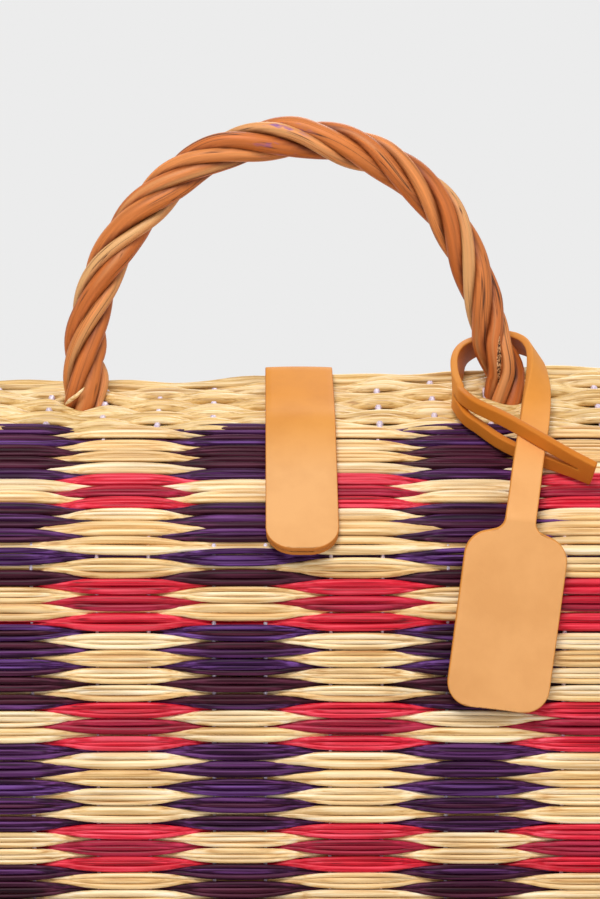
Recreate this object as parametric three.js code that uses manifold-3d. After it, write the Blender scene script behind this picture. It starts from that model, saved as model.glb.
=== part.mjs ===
// Market bag: a woven reed basket whose back half top opens as a lid, with one
// twisted willow handle, a leather closing tab and a leather luggage tag.
// Millimetres, +Z up, front towards -Y, origin at the middle of the base on the
// surface that the bag stands on.

import * as THREE from 'three';
import { mergeVertices } from 'three/addons/utils/BufferGeometryUtils.js';
import Module from 'manifold-3d';

const wasm = await Module();
wasm.setup();

// Clearance between pieces that touch on the real bag
const clearance = 0.3;

// Basket, seen from the side: a straight front, a fold, a steep front slope, a
// shoulder, a flatter band up to the crest, and the lid down to the back wall
const matWidth = 368;
const matThickness = 6;
const bagDepth = 186;
const foldHeight = 178;
const shoulderSetback = 52;
const shoulderHeight = 222;
const crestSetback = 101;
const crestHeight = 241;
const backHeight = 156;
const footRadius = 16;
const foldRadius = 12;
const shoulderRadius = 30;

// The woven mats are not flat: they dip where the reeds cross between two columns of
// warps, and the walls and side panels sag in a little between their edges
const columnSpacing = 48.1;
const columnOffset = 0.9;
const panelColumnSpacing = 43.4;
const valleyDepth = 2.4;
const valleyWidth = 28;
const valleyFloorWidth = 12;
const frontSag = 1.6;
const backSag = 3.2;
const panelSag = 2.2;
const panelSagTop = 198;

// Side panels sit inside the mat's edges
const panelThickness = 6;
const panelSetback = 3;

// Bindings on the mat's edges and rims, and the willow rods that stiffen the rims
const edgeBindingDiameter = 5.4;
const rimBindingDiameter = 7;
const stiffenerDiameter = 6;
const lidRodSetback = 40;

// Handle: five willow rods laid round a core, in an arch that passes through the mat
const handleSpan = 186;
const handleRise = 104.5;
const handleFootLength = 39;
const handleLean = 5.2;
const coreDiameter = 5.8;
const rodDiameter = 6.3;
const rodCount = 5;
const twistPitch = 96;
const twistStart = 93;
const rimWeb = 3;
const holeClearance = 0.4;
const whippingThickness = 3;
const whippingTurns = 5;
const whippingCord = 2.6;

// Closing tab: a leather strap riveted to the lid, lined at its free part
const tabOffset = 2.5;
const tabWidth = 30;
const tabCornerRadius = 12;
const tabOverhang = 6;
const leatherThickness = 2.2;
const liningThickness = 1.8;
const crestBendRadius = 5;
const tabBendSetback = 16;
const tabRootLength = 20;
const rivetSetback = 10;
const rivetSpacing = 16;
const rivetCapDiameter = 8;
const rivetCapHeight = 1.2;
const rivetPostDiameter = 3;
const patchThickness = 1.8;
const patchWidth = 34;
const patchLength = 18;

// Magnetic snap: its lower half in the mat, its magnet in the tab's lining
const snapSetback = 21;
const snapDiameter = 15;
const snapDiscHeight = 1.2;
const snapStemDiameter = 4;
const snapHeadDiameter = 6.4;
const washerDiameter = 16;
const washerHeight = 1.2;
const magnetDiameter = 15;

// Luggage tag, cut from one piece of leather: a rounded plate, and a strap that goes
// round the right leg of the handle and is drawn through a slit in its own end
const tagThickness = 3.2;
const tagWidth = 42;
const tagLength = 73.5;
const tagCornerRadius = 10.5;
const tagShoulderDroop = 18;
const tagNeckLength = 6.4;
const tagNeckFillet = 5;
const tagTilt = 7;
const tagHang = 1.7;
const tagNeckRise = 11.7;
const tagStandoff = 1.5;
const strapWidth = 12.6;
const slitWidth = 0.3;

// Levels of detail
const arcStep = THREE.MathUtils.degToRad(16);
const roundSides = 24;
const reliefStep = 45;

const colours = {
  reed: 0xe9d29b,
  willow: 0xc07a45,
  leather: 0xeeb076,
  cord: 0xdccbd6,
  metal: 0xa9a9a6,
};

const frontY = -bagDepth / 2;
const backY = bagDepth / 2;
const crestY = frontY + crestSetback;
const rodRing = coreDiameter / 2 + clearance + rodDiameter / 2;
const handleRadius = rodRing + rodDiameter / 2;
const holeRadius = handleRadius + holeClearance;

const yz = (y, z) => new THREE.Vector2(y, z);
const leftOf = (direction) => new THREE.Vector2(-direction.y, direction.x);

// The bag's outline from the side, counter-clockwise, as corners in (y, z)
const crest = yz(crestY, crestHeight);
const shoulder = yz(frontY + shoulderSetback, shoulderHeight);
const fold = yz(frontY, foldHeight);
const backFold = yz(backY, backHeight);
const outline = [crest, shoulder, fold, yz(frontY, 0), yz(backY, 0), backFold];
const outlineRadii = [0, shoulderRadius, foldRadius, footRadius, footRadius, 0];

function directionOf(from, to) {
  return to.clone().sub(from).normalize();
}

function insetOutline(inset) {
  return outline.map((corner, i) => {
    const before = outline[(i + outline.length - 1) % outline.length];
    const after = outline[(i + 1) % outline.length];
    const arriving = directionOf(before, corner);
    const leaving = directionOf(corner, after);
    const bisector = leftOf(arriving).add(leftOf(leaving)).normalize();
    return corner.clone().addScaledVector(bisector, inset / bisector.dot(leftOf(arriving)));
  });
}

// Replaces each corner that has a radius with an arc
function roundedPath(corners, radii) {
  const path = [];
  corners.forEach((corner, i) => {
    const radius = radii[i];
    if (!radius) {
      path.push(corner.clone());
      return;
    }
    const arriving = directionOf(corners[(i + corners.length - 1) % corners.length], corner);
    const leaving = directionOf(corner, corners[(i + 1) % corners.length]);
    const turn = Math.acos(THREE.MathUtils.clamp(arriving.dot(leaving), -1, 1));
    const side = Math.sign(arriving.cross(leaving));
    const toCentre = leftOf(arriving).multiplyScalar(side * radius);
    const centre = corner.clone()
      .addScaledVector(arriving, -radius * Math.tan(turn / 2))
      .add(toCentre);
    const steps = Math.max(2, Math.ceil(turn / arcStep));
    for (let k = 0; k <= steps; k += 1) {
      const spoke = toCentre.clone().negate().rotateAround(yz(0, 0), (side * turn * k) / steps);
      path.push(centre.clone().add(spoke));
    }
  });
  return path;
}

const insetRadii = (inset) => outlineRadii.map((radius) => (radius ? radius - inset : 0));

function pointAtY(from, to, y) {
  return yz(y, from.y + ((to.y - from.y) * (y - from.x)) / (to.x - from.x));
}

function pointAtZ(from, to, z) {
  return yz(from.x + ((to.x - from.x) * (z - from.y)) / (to.y - from.y), z);
}

// The two mats stop short of the crest, where a binding closes each rim
const rimBindingY = crestY - clearance / 2 - rimBindingDiameter / 2;
const lidBindingY = crestY + clearance / 2 + rimBindingDiameter / 2;
const matRimY = rimBindingY - rimBindingDiameter / 2 - clearance;
const lidRimY = lidBindingY + rimBindingDiameter / 2 + clearance;
const handleY = matRimY - rimWeb - holeRadius;
const legX = handleSpan / 2;

// Solids

// Extrudes a (y, z) outline along X, centred on middleX
function extrudeAlongX(points, width, middleX = 0) {
  const geometry = new THREE.ExtrudeGeometry(new THREE.Shape(points), {
    depth: width,
    bevelEnabled: false,
  });
  const turn = new THREE.Matrix4().makeBasis(
    new THREE.Vector3(0, 1, 0),
    new THREE.Vector3(0, 0, 1),
    new THREE.Vector3(1, 0, 0),
  );
  geometry.applyMatrix4(turn);
  geometry.translate(middleX - width / 2, 0, 0);
  return geometry;
}

function circle(radius, sides) {
  const points = [];
  for (let i = 0; i < sides; i += 1) {
    const angle = (2 * Math.PI * i) / sides;
    points.push(new THREE.Vector2(radius * Math.cos(angle), radius * Math.sin(angle)));
  }
  return new THREE.Shape(points);
}

function tubeAlong(curve, diameter, steps, sides = 8) {
  return new THREE.ExtrudeGeometry(circle(diameter / 2, sides), {
    steps,
    extrudePath: curve,
    bevelEnabled: false,
  });
}

function toSolid(geometry) {
  const bare = geometry.clone();
  bare.deleteAttribute('normal');
  bare.deleteAttribute('uv');
  const merged = mergeVertices(bare, 1e-4);
  return new wasm.Manifold(new wasm.Mesh({
    numProp: 3,
    vertProperties: new Float32Array(merged.attributes.position.array),
    triVerts: new Uint32Array(merged.index.array),
  }));
}

function toGeometry(solid) {
  const mesh = solid.getMesh();
  const geometry = new THREE.BufferGeometry();
  geometry.setAttribute('position', new THREE.BufferAttribute(mesh.vertProperties, 3));
  geometry.setIndex(new THREE.BufferAttribute(mesh.triVerts, 1));
  geometry.computeVertexNormals();
  return geometry;
}

function cut(geometry, ...tools) {
  return toGeometry(tools.reduce((solid, tool) => solid.subtract(toSolid(tool)), toSolid(geometry)));
}

// A round bar along the given direction, centred on a point
function bar(centre, direction, radius, length, sides = roundSides) {
  const geometry = new THREE.CylinderGeometry(radius, radius, length, sides);
  const turn = new THREE.Quaternion().setFromUnitVectors(new THREE.Vector3(0, 1, 0), direction);
  geometry.applyQuaternion(turn);
  geometry.translate(centre.x, centre.y, centre.z);
  return geometry;
}

// A turned piece: profile points are (radius, height) along the direction from a point
function turned(profile, centre, direction, sides = roundSides) {
  const points = profile.map(([radius, height]) => new THREE.Vector2(radius, height));
  const geometry = new THREE.LatheGeometry(points, sides);
  const turn = new THREE.Quaternion().setFromUnitVectors(new THREE.Vector3(0, 1, 0), direction);
  geometry.applyQuaternion(turn);
  geometry.translate(centre.x, centre.y, centre.z);
  return geometry;
}

// A closed solid through rings of points that run counter-clockwise as seen from the
// last ring. flatten turns a ring's point into the plane that its end is filled in
function loft(rings, flatten) {
  const size = rings[0].length;
  const faces = [];
  for (let k = 1; k < rings.length; k += 1) {
    for (let i = 0; i < size; i += 1) {
      const j = (i + 1) % size;
      const near = (k - 1) * size;
      const far = k * size;
      faces.push(near + i, near + j, far + j, near + i, far + j, far + i);
    }
  }
  const last = rings.length - 1;
  for (const [a, b, c] of THREE.ShapeUtils.triangulateShape(rings[0].map(flatten), [])) {
    faces.push(a, c, b);
  }
  for (const face of THREE.ShapeUtils.triangulateShape(rings[last].map(flatten), [])) {
    faces.push(...face.map((corner) => last * size + corner));
  }
  const positions = rings.flat().flatMap((point) => [point.x, point.y, point.z]);
  const geometry = new THREE.BufferGeometry();
  geometry.setAttribute('position', new THREE.Float32BufferAttribute(positions, 3));
  geometry.setIndex(faces);
  return geometry;
}

const alongX = new THREE.Vector3(1, 0, 0);
const alongZ = new THREE.Vector3(0, 0, 1);

// The bag's top as a place to put things: a point at x, at a distance up from the
// front fold along the slope and the band, at a height over the mat's surface
const slopeLength = fold.distanceTo(shoulder);
const bandLength = shoulder.distanceTo(crest);
const lidLength = crest.distanceTo(backFold);

function outward(from, to) {
  return leftOf(directionOf(from, to));
}

const slopeOut = outward(fold, shoulder);
const bandOut = outward(shoulder, crest);
const lidOut = outward(crest, backFold);

const in3d = (x, point) => new THREE.Vector3(x, point.x, point.y);

function onSlope(distance, height) {
  return fold.clone().addScaledVector(directionOf(fold, shoulder), distance)
    .addScaledVector(slopeOut, height);
}

function onBand(distance, height) {
  return shoulder.clone().addScaledVector(directionOf(shoulder, crest), distance)
    .addScaledVector(bandOut, height);
}

function onLid(distance, height) {
  return crest.clone().addScaledVector(directionOf(crest, backFold), distance)
    .addScaledVector(lidOut, height);
}

// The weave's relief. Crossings lie between columns, clear of the sheet's two ends
function crossingsBetween(low, high, spacing, offset) {
  const crossings = [];
  const first = Math.ceil((low + valleyWidth / 2 - offset) / spacing);
  for (let k = first; offset + k * spacing < high - valleyWidth / 2; k += 1) {
    crossings.push(offset + k * spacing);
  }
  return crossings;
}

function reliefStations(low, high, crossings) {
  const edges = [-valleyWidth, -valleyFloorWidth, valleyFloorWidth, valleyWidth];
  return [low, ...crossings.flatMap((crossing) => edges.map((edge) => crossing + edge / 2)), high];
}

function valleyAt(place, crossings) {
  const away = Math.min(...crossings.map((crossing) => Math.abs(place - crossing)));
  const up = THREE.MathUtils.inverseLerp(valleyFloorWidth / 2, valleyWidth / 2, away);
  return valleyDepth * (1 - THREE.MathUtils.clamp(up, 0, 1));
}

// Rises from 0 at low to 1 halfway and falls to 0 at high
function archBetween(place, low, high) {
  const share = THREE.MathUtils.clamp((place - low) / (high - low), 0, 1);
  return Math.sin(Math.PI * share);
}

// Parts of the model, by name

const bag = new THREE.Group();

function addPiece(name, geometry, colour, roughness = 0.7, metalness = 0) {
  const material = new THREE.MeshStandardMaterial({ color: colour, roughness, metalness });
  const mesh = new THREE.Mesh(geometry, material);
  mesh.name = name;
  bag.add(mesh);
}

const sides = [['left', -1], ['right', 1]];

// Main mat: one piece of weaving that makes the fixed half of the top, the front,
// the base and the back
const innerCrest = insetOutline(matThickness)[0];

function wrapCorners(inset) {
  const corners = insetOutline(inset);
  return [
    pointAtY(corners[1], corners[0], matRimY),
    ...corners.slice(1, 5),
    yz(backY - inset, backHeight),
  ];
}

function wrapRadii(inset) {
  return [0, ...insetRadii(inset).slice(1, 5), 0];
}

const snapCentre = onSlope(snapSetback - tabOverhang, 0);
const snapOut = in3d(0, slopeOut).normalize();
const snapPoint = (height) => in3d(tabOffset, snapCentre).addScaledVector(snapOut, height);
const snapPocketDepth = snapDiscHeight + clearance;
const stemHole = snapStemDiameter / 2 + clearance;

// Splits each stretch of a path into the given number of equal steps
function divided(path, counts) {
  return path.flatMap((point, i) => {
    const before = path[Math.max(0, i - 1)];
    const steps = Array.from({ length: counts[i] }, (_, k) => (k + 1) / counts[i]);
    return steps.map((share) => before.clone().lerp(point, share));
  });
}

const panelMiddle = matWidth / 2 - panelSetback - panelThickness / 2;
const innerWidth = 2 * (panelMiddle - panelThickness / 2 - clearance);
const matCrossings = crossingsBetween(-matWidth / 2, matWidth / 2, columnSpacing, columnOffset);

function matSag(x, point) {
  const wallSag = point.x < 0 ? frontSag : backSag;
  return wallSag * archBetween(x, -innerWidth / 2, innerWidth / 2)
    * archBetween(point.y, footRadius, backHeight);
}

// The base lies flat, and so does the top under the closing tab
function matValley(x, point) {
  const onTop = point.y > foldHeight - foldRadius;
  if (onTop && Math.abs(x - tabOffset) < columnSpacing / 2) return 0;
  return valleyAt(x, matCrossings) * THREE.MathUtils.smoothstep(point.y, footRadius / 2, 2 * footRadius);
}

// The mat's sheet: its outer side has the valleys, and both sides sag
function matSheet() {
  const outerPath = roundedPath(wrapCorners(0), wrapRadii(0));
  const innerPath = roundedPath(wrapCorners(matThickness), wrapRadii(matThickness));
  const counts = outerPath.map((point, i) => {
    return i ? Math.ceil(point.distanceTo(outerPath[i - 1]) / reliefStep) : 1;
  });
  const outer = divided(outerPath, counts);
  const inner = divided(innerPath, counts);
  const section = (x) => {
    const inward = (i) => directionOf(outer[i], inner[i]);
    const outerPoints = outer.map((point, i) => {
      return point.clone().addScaledVector(inward(i), matSag(x, point) + matValley(x, point));
    });
    const innerPoints = inner.map((point, i) => {
      return point.clone().addScaledVector(inward(i), matSag(x, outer[i]));
    });
    return [...outerPoints, ...innerPoints.reverse()].map((point) => in3d(x, point));
  };
  const stations = reliefStations(-matWidth / 2, matWidth / 2, matCrossings);
  return loft(stations.map(section), (point) => yz(point.y, point.z));
}

function buildMainMat() {
  const sheet = matSheet();
  const handleHoles = sides.map(([, sign]) => {
    const hole = new THREE.Vector3(sign * legX, handleY, crestHeight);
    return bar(hole, alongZ, holeRadius, 4 * handleRadius, 32);
  });
  const pocket = bar(
    snapPoint(-snapPocketDepth / 2 + matThickness / 2),
    snapOut,
    snapDiameter / 2 + clearance,
    snapPocketDepth + matThickness,
  );
  const stem = bar(snapPoint(-matThickness), snapOut, stemHole, 3 * matThickness, 16);
  return cut(sheet, ...handleHoles, pocket, stem);
}

addPiece('main_mat', buildMainMat(), colours.reed);

// Side panels
const panelOutline = insetOutline(matThickness + clearance);

// A sheet larger than the panel, with the panel's relief
function panelSheet(sign) {
  const sagging = [0, 0.25, 0.5, 0.75, 1].map((share) => THREE.MathUtils.lerp(footRadius, panelSagTop, share));
  const heights = [-footRadius, ...sagging, crestHeight];
  const crossings = crossingsBetween(-bagDepth / 2, bagDepth / 2, panelColumnSpacing, 0);
  const section = (y) => {
    const sag = (z) => panelSag * archBetween(y, frontY, backY) * archBetween(z, footRadius, panelSagTop);
    const outer = heights.map((z) => yz(panelThickness / 2 - sag(z) - valleyAt(y, crossings), z));
    const inner = heights.map((z) => yz(-panelThickness / 2 - sag(z), z));
    const ring = sign > 0 ? [...inner, ...outer.reverse()] : [...outer, ...inner.reverse()];
    return ring.map((point) => new THREE.Vector3(sign * (panelMiddle + point.x), y, point.y));
  };
  const stations = reliefStations(frontY, backY, crossings);
  return loft(stations.map(section), (point) => new THREE.Vector2(point.z, point.x));
}

function buildSidePanel(sign) {
  const path = roundedPath(panelOutline, insetRadii(matThickness + clearance));
  const block = extrudeAlongX(path, 4 * panelThickness, sign * panelMiddle);
  return toGeometry(toSolid(block).intersect(toSolid(panelSheet(sign))));
}

for (const [side, sign] of sides) {
  addPiece(`side_panel_${side}`, buildSidePanel(sign), colours.reed);
}

// Bindings along the two side edges of the main mat
function buildEdgeBinding(sign) {
  const middle = matThickness / 2;
  const path = roundedPath(wrapCorners(middle), wrapRadii(middle));
  const x = sign * (matWidth / 2 + clearance + edgeBindingDiameter / 2);
  const route = new THREE.CurvePath();
  for (let i = 1; i < path.length; i += 1) {
    route.add(new THREE.LineCurve3(in3d(x, path[i - 1]), in3d(x, path[i])));
  }
  return tubeAlong(route, edgeBindingDiameter, 52);
}

for (const [side, sign] of sides) {
  addPiece(`edge_binding_${side}`, buildEdgeBinding(sign), colours.reed);
}

// The binding on the fixed rim, and the rod that stiffens that rim from below
const bindingOutline = insetOutline(matThickness - rimBindingDiameter / 2);
const rimBindingAt = pointAtY(bindingOutline[1], bindingOutline[0], rimBindingY);
addPiece(
  'rim_binding',
  bar(in3d(0, rimBindingAt), alongX, rimBindingDiameter / 2, matWidth, 12),
  colours.reed,
);

const whippingRadius = handleRadius + clearance + whippingThickness;
const stiffenerDepth = matThickness + clearance + stiffenerDiameter / 2;
const rodOutline = insetOutline(stiffenerDepth);
const rimRodY = handleY - whippingRadius - clearance - stiffenerDiameter / 2;
const rimRodAt = pointAtY(rodOutline[1], rodOutline[0], rimRodY);
addPiece(
  'rim_rod',
  bar(in3d(0, rimRodAt), alongX, stiffenerDiameter / 2, innerWidth, 12),
  colours.willow,
);

// Lid: the back half of the top, which folds back about the top of the back wall
const lidFoot = backHeight + clearance;

const rivetAt = rivetSetback + tabBendSetback;
const rivetOut = in3d(0, lidOut).normalize();
const rivetPoint = (sign, height) => in3d(tabOffset + (sign * rivetSpacing) / 2, onLid(rivetAt, 0))
  .addScaledVector(rivetOut, height);
const rivetHoleRadius = rivetPostDiameter / 2 + clearance;

function rivetHoles(height, length) {
  return sides.map(([, sign]) => bar(rivetPoint(sign, height), rivetOut, rivetHoleRadius, length, 16));
}

function buildLidMat() {
  const innerBackFold = insetOutline(matThickness)[5];
  const sheet = extrudeAlongX([
    pointAtY(crest, backFold, lidRimY),
    pointAtY(innerCrest, innerBackFold, lidRimY),
    pointAtZ(innerCrest, innerBackFold, lidFoot),
    pointAtZ(crest, backFold, lidFoot),
  ], matWidth);
  return cut(sheet, ...rivetHoles(-matThickness / 2, 3 * matThickness));
}

addPiece('lid_mat', buildLidMat(), colours.reed);

const lidBindingAt = pointAtY(bindingOutline[0], bindingOutline[5], lidBindingY);
addPiece(
  'lid_rim_binding',
  bar(in3d(0, lidBindingAt), alongX, rimBindingDiameter / 2, matWidth, 12),
  colours.reed,
);

const middleOutline = insetOutline(matThickness / 2);

function buildLidEdgeBinding(sign) {
  const x = sign * (matWidth / 2 + clearance + edgeBindingDiameter / 2);
  const top = in3d(x, pointAtY(middleOutline[0], middleOutline[5], lidRimY));
  const foot = in3d(x, pointAtZ(middleOutline[0], middleOutline[5], lidFoot + edgeBindingDiameter));
  const direction = foot.clone().sub(top).normalize();
  const middle = top.clone().add(foot).multiplyScalar(0.5);
  return bar(middle, direction, edgeBindingDiameter / 2, top.distanceTo(foot), 8);
}

for (const [side, sign] of sides) {
  addPiece(`lid_edge_binding_${side}`, buildLidEdgeBinding(sign), colours.reed);
}

addPiece(
  'lid_rod',
  bar(in3d(0, onLid(lidRodSetback, -stiffenerDepth)), alongX, stiffenerDiameter / 2, innerWidth, 12),
  colours.willow,
);

// Handle: the core's line is a half ellipse on two straight feet, and its right side
// leans in towards the middle
const leanFrom = 0.17;
const leanTo = 0.25;

function leanAt(side, up) {
  if (side < 0) return 0;
  return handleLean * THREE.MathUtils.smoothstep(up, 0, leanFrom)
    * (1 - THREE.MathUtils.smoothstep(up, leanTo, 1));
}

class HandleLine extends THREE.Curve {
  constructor() {
    super();
    this.footShare = handleFootLength / (2 * handleFootLength + 3 * handleRise);
  }

  getPoint(t) {
    const side = t < 0.5 ? -1 : 1;
    const fromEnd = Math.min(t, 1 - t);
    if (fromEnd < this.footShare) {
      const drop = handleFootLength * (1 - fromEnd / this.footShare);
      return new THREE.Vector3(side * legX, handleY, crestHeight - drop);
    }
    const share = (fromEnd - this.footShare) / (0.5 - this.footShare);
    const angle = (Math.PI / 2) * share;
    const up = Math.sin(angle);
    return new THREE.Vector3(
      side * legX * Math.cos(angle) - leanAt(side, up),
      handleY,
      crestHeight + handleRise * up,
    );
  }
}

const handleLine = new HandleLine();
handleLine.arcLengthDivisions = 400;
const handleLength = handleLine.getLength();

// One rod's line: a right-handed helix round the handle's line
class RodLine extends THREE.Curve {
  constructor(phase) {
    super();
    this.phase = phase;
  }

  getPoint(t) {
    const tangent = handleLine.getTangentAt(t);
    const across = new THREE.Vector3(0, 1, 0);
    const up = tangent.clone().cross(across);
    const angle = this.phase + (2 * Math.PI * t * handleLength) / twistPitch;
    return handleLine.getPointAt(t)
      .addScaledVector(across, rodRing * Math.cos(angle))
      .addScaledVector(up, rodRing * Math.sin(angle));
  }
}

const handleSteps = 64;
addPiece('handle_core', tubeAlong(handleLine, coreDiameter, handleSteps), colours.willow);
for (let i = 0; i < rodCount; i += 1) {
  const line = new RodLine(THREE.MathUtils.degToRad(twistStart + (360 * i) / rodCount));
  addPiece(`handle_rod_${i + 1}`, tubeAlong(line, rodDiameter, handleSteps), colours.willow);
}

// Cord whippings that hold the handle's feet under the mat: turns side by side,
// cut to the slope of the mat above them
function buildWhipping(sign) {
  const inside = handleRadius + clearance;
  const height = whippingTurns * whippingCord;
  const profile = [[inside, 0]];
  for (let turn = 0; turn < whippingTurns; turn += 1) {
    profile.push([inside + whippingThickness / 2, turn * whippingCord]);
    profile.push([whippingRadius, (turn + 0.5) * whippingCord]);
  }
  profile.push([inside + whippingThickness / 2, height], [inside, height], [inside, 0]);
  const ceiling = insetOutline(matThickness + clearance);
  const under = pointAtY(ceiling[1], ceiling[0], handleY);
  const foot = new THREE.Vector3(sign * legX, handleY, under.y - height);
  const ring = turned(profile, foot, alongZ);
  const lowY = handleY - 2 * whippingRadius;
  const highY = handleY + 2 * whippingRadius;
  const roof = extrudeAlongX([
    pointAtY(ceiling[1], ceiling[0], lowY),
    pointAtY(ceiling[1], ceiling[0], highY),
    yz(highY, crestHeight + handleRise),
    yz(lowY, crestHeight + handleRise),
  ], 4 * whippingRadius, sign * legX);
  return cut(ring, roof);
}

for (const [side, sign] of sides) {
  addPiece(`handle_whipping_${side}`, buildWhipping(sign), colours.cord);
}

// Snap: a headed disc through the mat, held by a washer inside
const headHeight = 1;
const washerTop = -matThickness - clearance;
const headTop = washerTop - washerHeight - clearance;
addPiece(
  'snap_base',
  turned([
    [0, -clearance],
    [0, headTop - headHeight],
    [snapHeadDiameter / 2, headTop - headHeight],
    [snapHeadDiameter / 2, headTop],
    [snapStemDiameter / 2, headTop],
    [snapStemDiameter / 2, -snapDiscHeight],
    [snapDiameter / 2, -snapDiscHeight],
    [snapDiameter / 2, -clearance],
    [0, -clearance],
  ], snapPoint(0), snapOut),
  colours.metal,
  0.35,
  1,
);
addPiece(
  'snap_washer',
  turned([
    [stemHole, washerTop],
    [stemHole, washerTop - washerHeight],
    [washerDiameter / 2, washerTop - washerHeight],
    [washerDiameter / 2, washerTop],
    [stemHole, washerTop],
  ], snapPoint(0), snapOut),
  colours.metal,
  0.35,
  1,
);

// Tab: the strap's outer leather and lining follow the top of the bag, from past
// the front fold over the crest to the line where the strap bends on the lid
const liningBase = clearance;
const leatherBase = liningBase + liningThickness + clearance;
const leatherTop = leatherBase + leatherThickness;
const rootTop = clearance + leatherThickness;

// The path at one height, from the front end to a distance behind the crest
function tabPath(height, stopSetback, stopHeight) {
  const shoulderPoint = shoulder.clone().addScaledVector(
    slopeOut.clone().add(bandOut).normalize(),
    height / Math.cos(slopeOut.angleTo(bandOut) / 2),
  );
  const crestPoint = crest.clone().addScaledVector(
    bandOut.clone().add(lidOut).normalize(),
    height / Math.cos(bandOut.angleTo(lidOut) / 2),
  );
  return roundedPath(
    [onSlope(-tabOverhang, height), shoulderPoint, crestPoint, onLid(stopSetback, stopHeight)],
    [0, shoulderRadius, crestBendRadius + height, 0],
  );
}

// Rounds the free end of a strap, seen square to the front slope
function roundEnd() {
  const half = tabWidth / 2;
  const corner = Math.min(tabCornerRadius, half);
  const length = slopeLength + bandLength + lidLength;
  const plan = new THREE.Shape();
  plan.moveTo(-half - corner, -corner);
  plan.lineTo(half + corner, -corner);
  plan.lineTo(half + corner, corner);
  plan.lineTo(half, corner);
  plan.absarc(half - corner, corner, corner, 0, -Math.PI / 2, true);
  plan.lineTo(-half + corner, 0);
  plan.absarc(-half + corner, corner, corner, -Math.PI / 2, -Math.PI, true);
  plan.lineTo(-half - corner, corner);
  const cutter = new THREE.ExtrudeGeometry(plan, {
    depth: length,
    bevelEnabled: false,
    curveSegments: 8,
  });
  const upSlope = in3d(0, directionOf(fold, shoulder));
  const turn = new THREE.Matrix4().makeBasis(alongX, upSlope, in3d(0, slopeOut));
  const foot = in3d(tabOffset, onSlope(-tabOverhang, -length / 2));
  cutter.applyMatrix4(turn.setPosition(foot));
  return cutter;
}

function buildTabLeather() {
  const under = tabPath(leatherBase, tabBendSetback - clearance / 2, clearance);
  const over = tabPath(leatherTop, tabBendSetback - clearance / 2, rootTop);
  const strip = extrudeAlongX([...over, ...under.reverse()].reverse(), tabWidth, tabOffset);
  return cut(strip, roundEnd());
}

function buildTabLining() {
  const liningStop = -bandLength / 4;
  const stop = (height) => crest.clone()
    .addScaledVector(directionOf(shoulder, crest), liningStop)
    .addScaledVector(bandOut, height);
  const path = (height) => [...tabPath(height, 1, height).filter((p) => p.x < stop(height).x), stop(height)];
  const top = liningBase + liningThickness;
  const strip = extrudeAlongX(
    [...path(top), ...path(liningBase).reverse()].reverse(),
    tabWidth,
    tabOffset,
  );
  const seat = bar(snapPoint(0), snapOut, magnetDiameter / 2 + clearance, 4 * top);
  return cut(strip, roundEnd(), seat);
}

addPiece('tab_leather', buildTabLeather(), colours.leather, 0.6);
addPiece('tab_lining', buildTabLining(), colours.leather, 0.75);
addPiece(
  'tab_magnet',
  bar(
    snapPoint(liningBase + liningThickness / 2),
    snapOut,
    magnetDiameter / 2,
    liningThickness,
  ),
  colours.metal,
  0.35,
  1,
);

// The strap's riveted root, the patch inside the lid, and the rivets
function lidStrip(start, length, low, high, width) {
  return extrudeAlongX([
    onLid(start, high),
    onLid(start, low),
    onLid(start + length, low),
    onLid(start + length, high),
  ], width, tabOffset);
}

const patchTop = -matThickness - clearance;
addPiece(
  'tab_root',
  cut(
    lidStrip(tabBendSetback + clearance / 2, tabRootLength, clearance, rootTop, tabWidth),
    ...rivetHoles(0, 3 * matThickness),
  ),
  colours.leather,
  0.6,
);
addPiece(
  'tab_patch',
  cut(
    lidStrip(rivetAt - patchLength / 2, patchLength, patchTop - patchThickness, patchTop, patchWidth),
    ...rivetHoles(patchTop, 3 * matThickness),
  ),
  colours.leather,
  0.75,
);

const capBase = rootTop + clearance;
const burrTop = patchTop - patchThickness - clearance;
for (const [side, sign] of sides) {
  addPiece(
    `tab_rivet_${side}`,
    turned([
      [0, capBase + rivetCapHeight],
      [rivetCapDiameter / 4, capBase + rivetCapHeight],
      [rivetCapDiameter / 2, capBase + rivetCapHeight / 2],
      [rivetCapDiameter / 2, capBase],
      [rivetPostDiameter / 2, capBase],
      [rivetPostDiameter / 2, burrTop],
      [rivetCapDiameter / 2, burrTop],
      [rivetCapDiameter / 2, burrTop - rivetCapHeight],
      [0, burrTop - rivetCapHeight],
    ].reverse(), rivetPoint(sign, 0), rivetOut, 16),
    colours.metal,
    0.35,
    1,
  );
}

// Luggage tag
const square = [yz(1, 1), yz(-1, 1), yz(-1, -1), yz(1, -1)];

// The section of a flat strip: out points away from its face, spread across its width
function stripRing(centre, out, spread, width) {
  return square.map((corner) => centre.clone()
    .addScaledVector(out, (corner.x * tagThickness) / 2)
    .addScaledVector(spread, (corner.y * width) / 2));
}

// The rings of a strip through stations, each a centre and the direction of its width.
// The first station only gives the direction in which the strip arrives at the second
function stripRings(stations, width, stepsPerStation = 4) {
  const centres = new THREE.CatmullRomCurve3(stations.map(([centre]) => centre));
  const spreads = new THREE.CatmullRomCurve3(stations.map(([, spread]) => spread));
  const steps = (stations.length - 1) * stepsPerStation;
  const rings = [];
  for (let k = stepsPerStation; k <= steps; k += 1) {
    const along = centres.getTangent(k / steps);
    const spread = spreads.getPoint(k / steps);
    spread.addScaledVector(along, -spread.dot(along)).normalize();
    rings.push(stripRing(centres.getPoint(k / steps), spread.clone().cross(along), spread, width));
  }
  return rings;
}

const strip = (rings) => loft(rings, (_, i) => square[i]);

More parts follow.
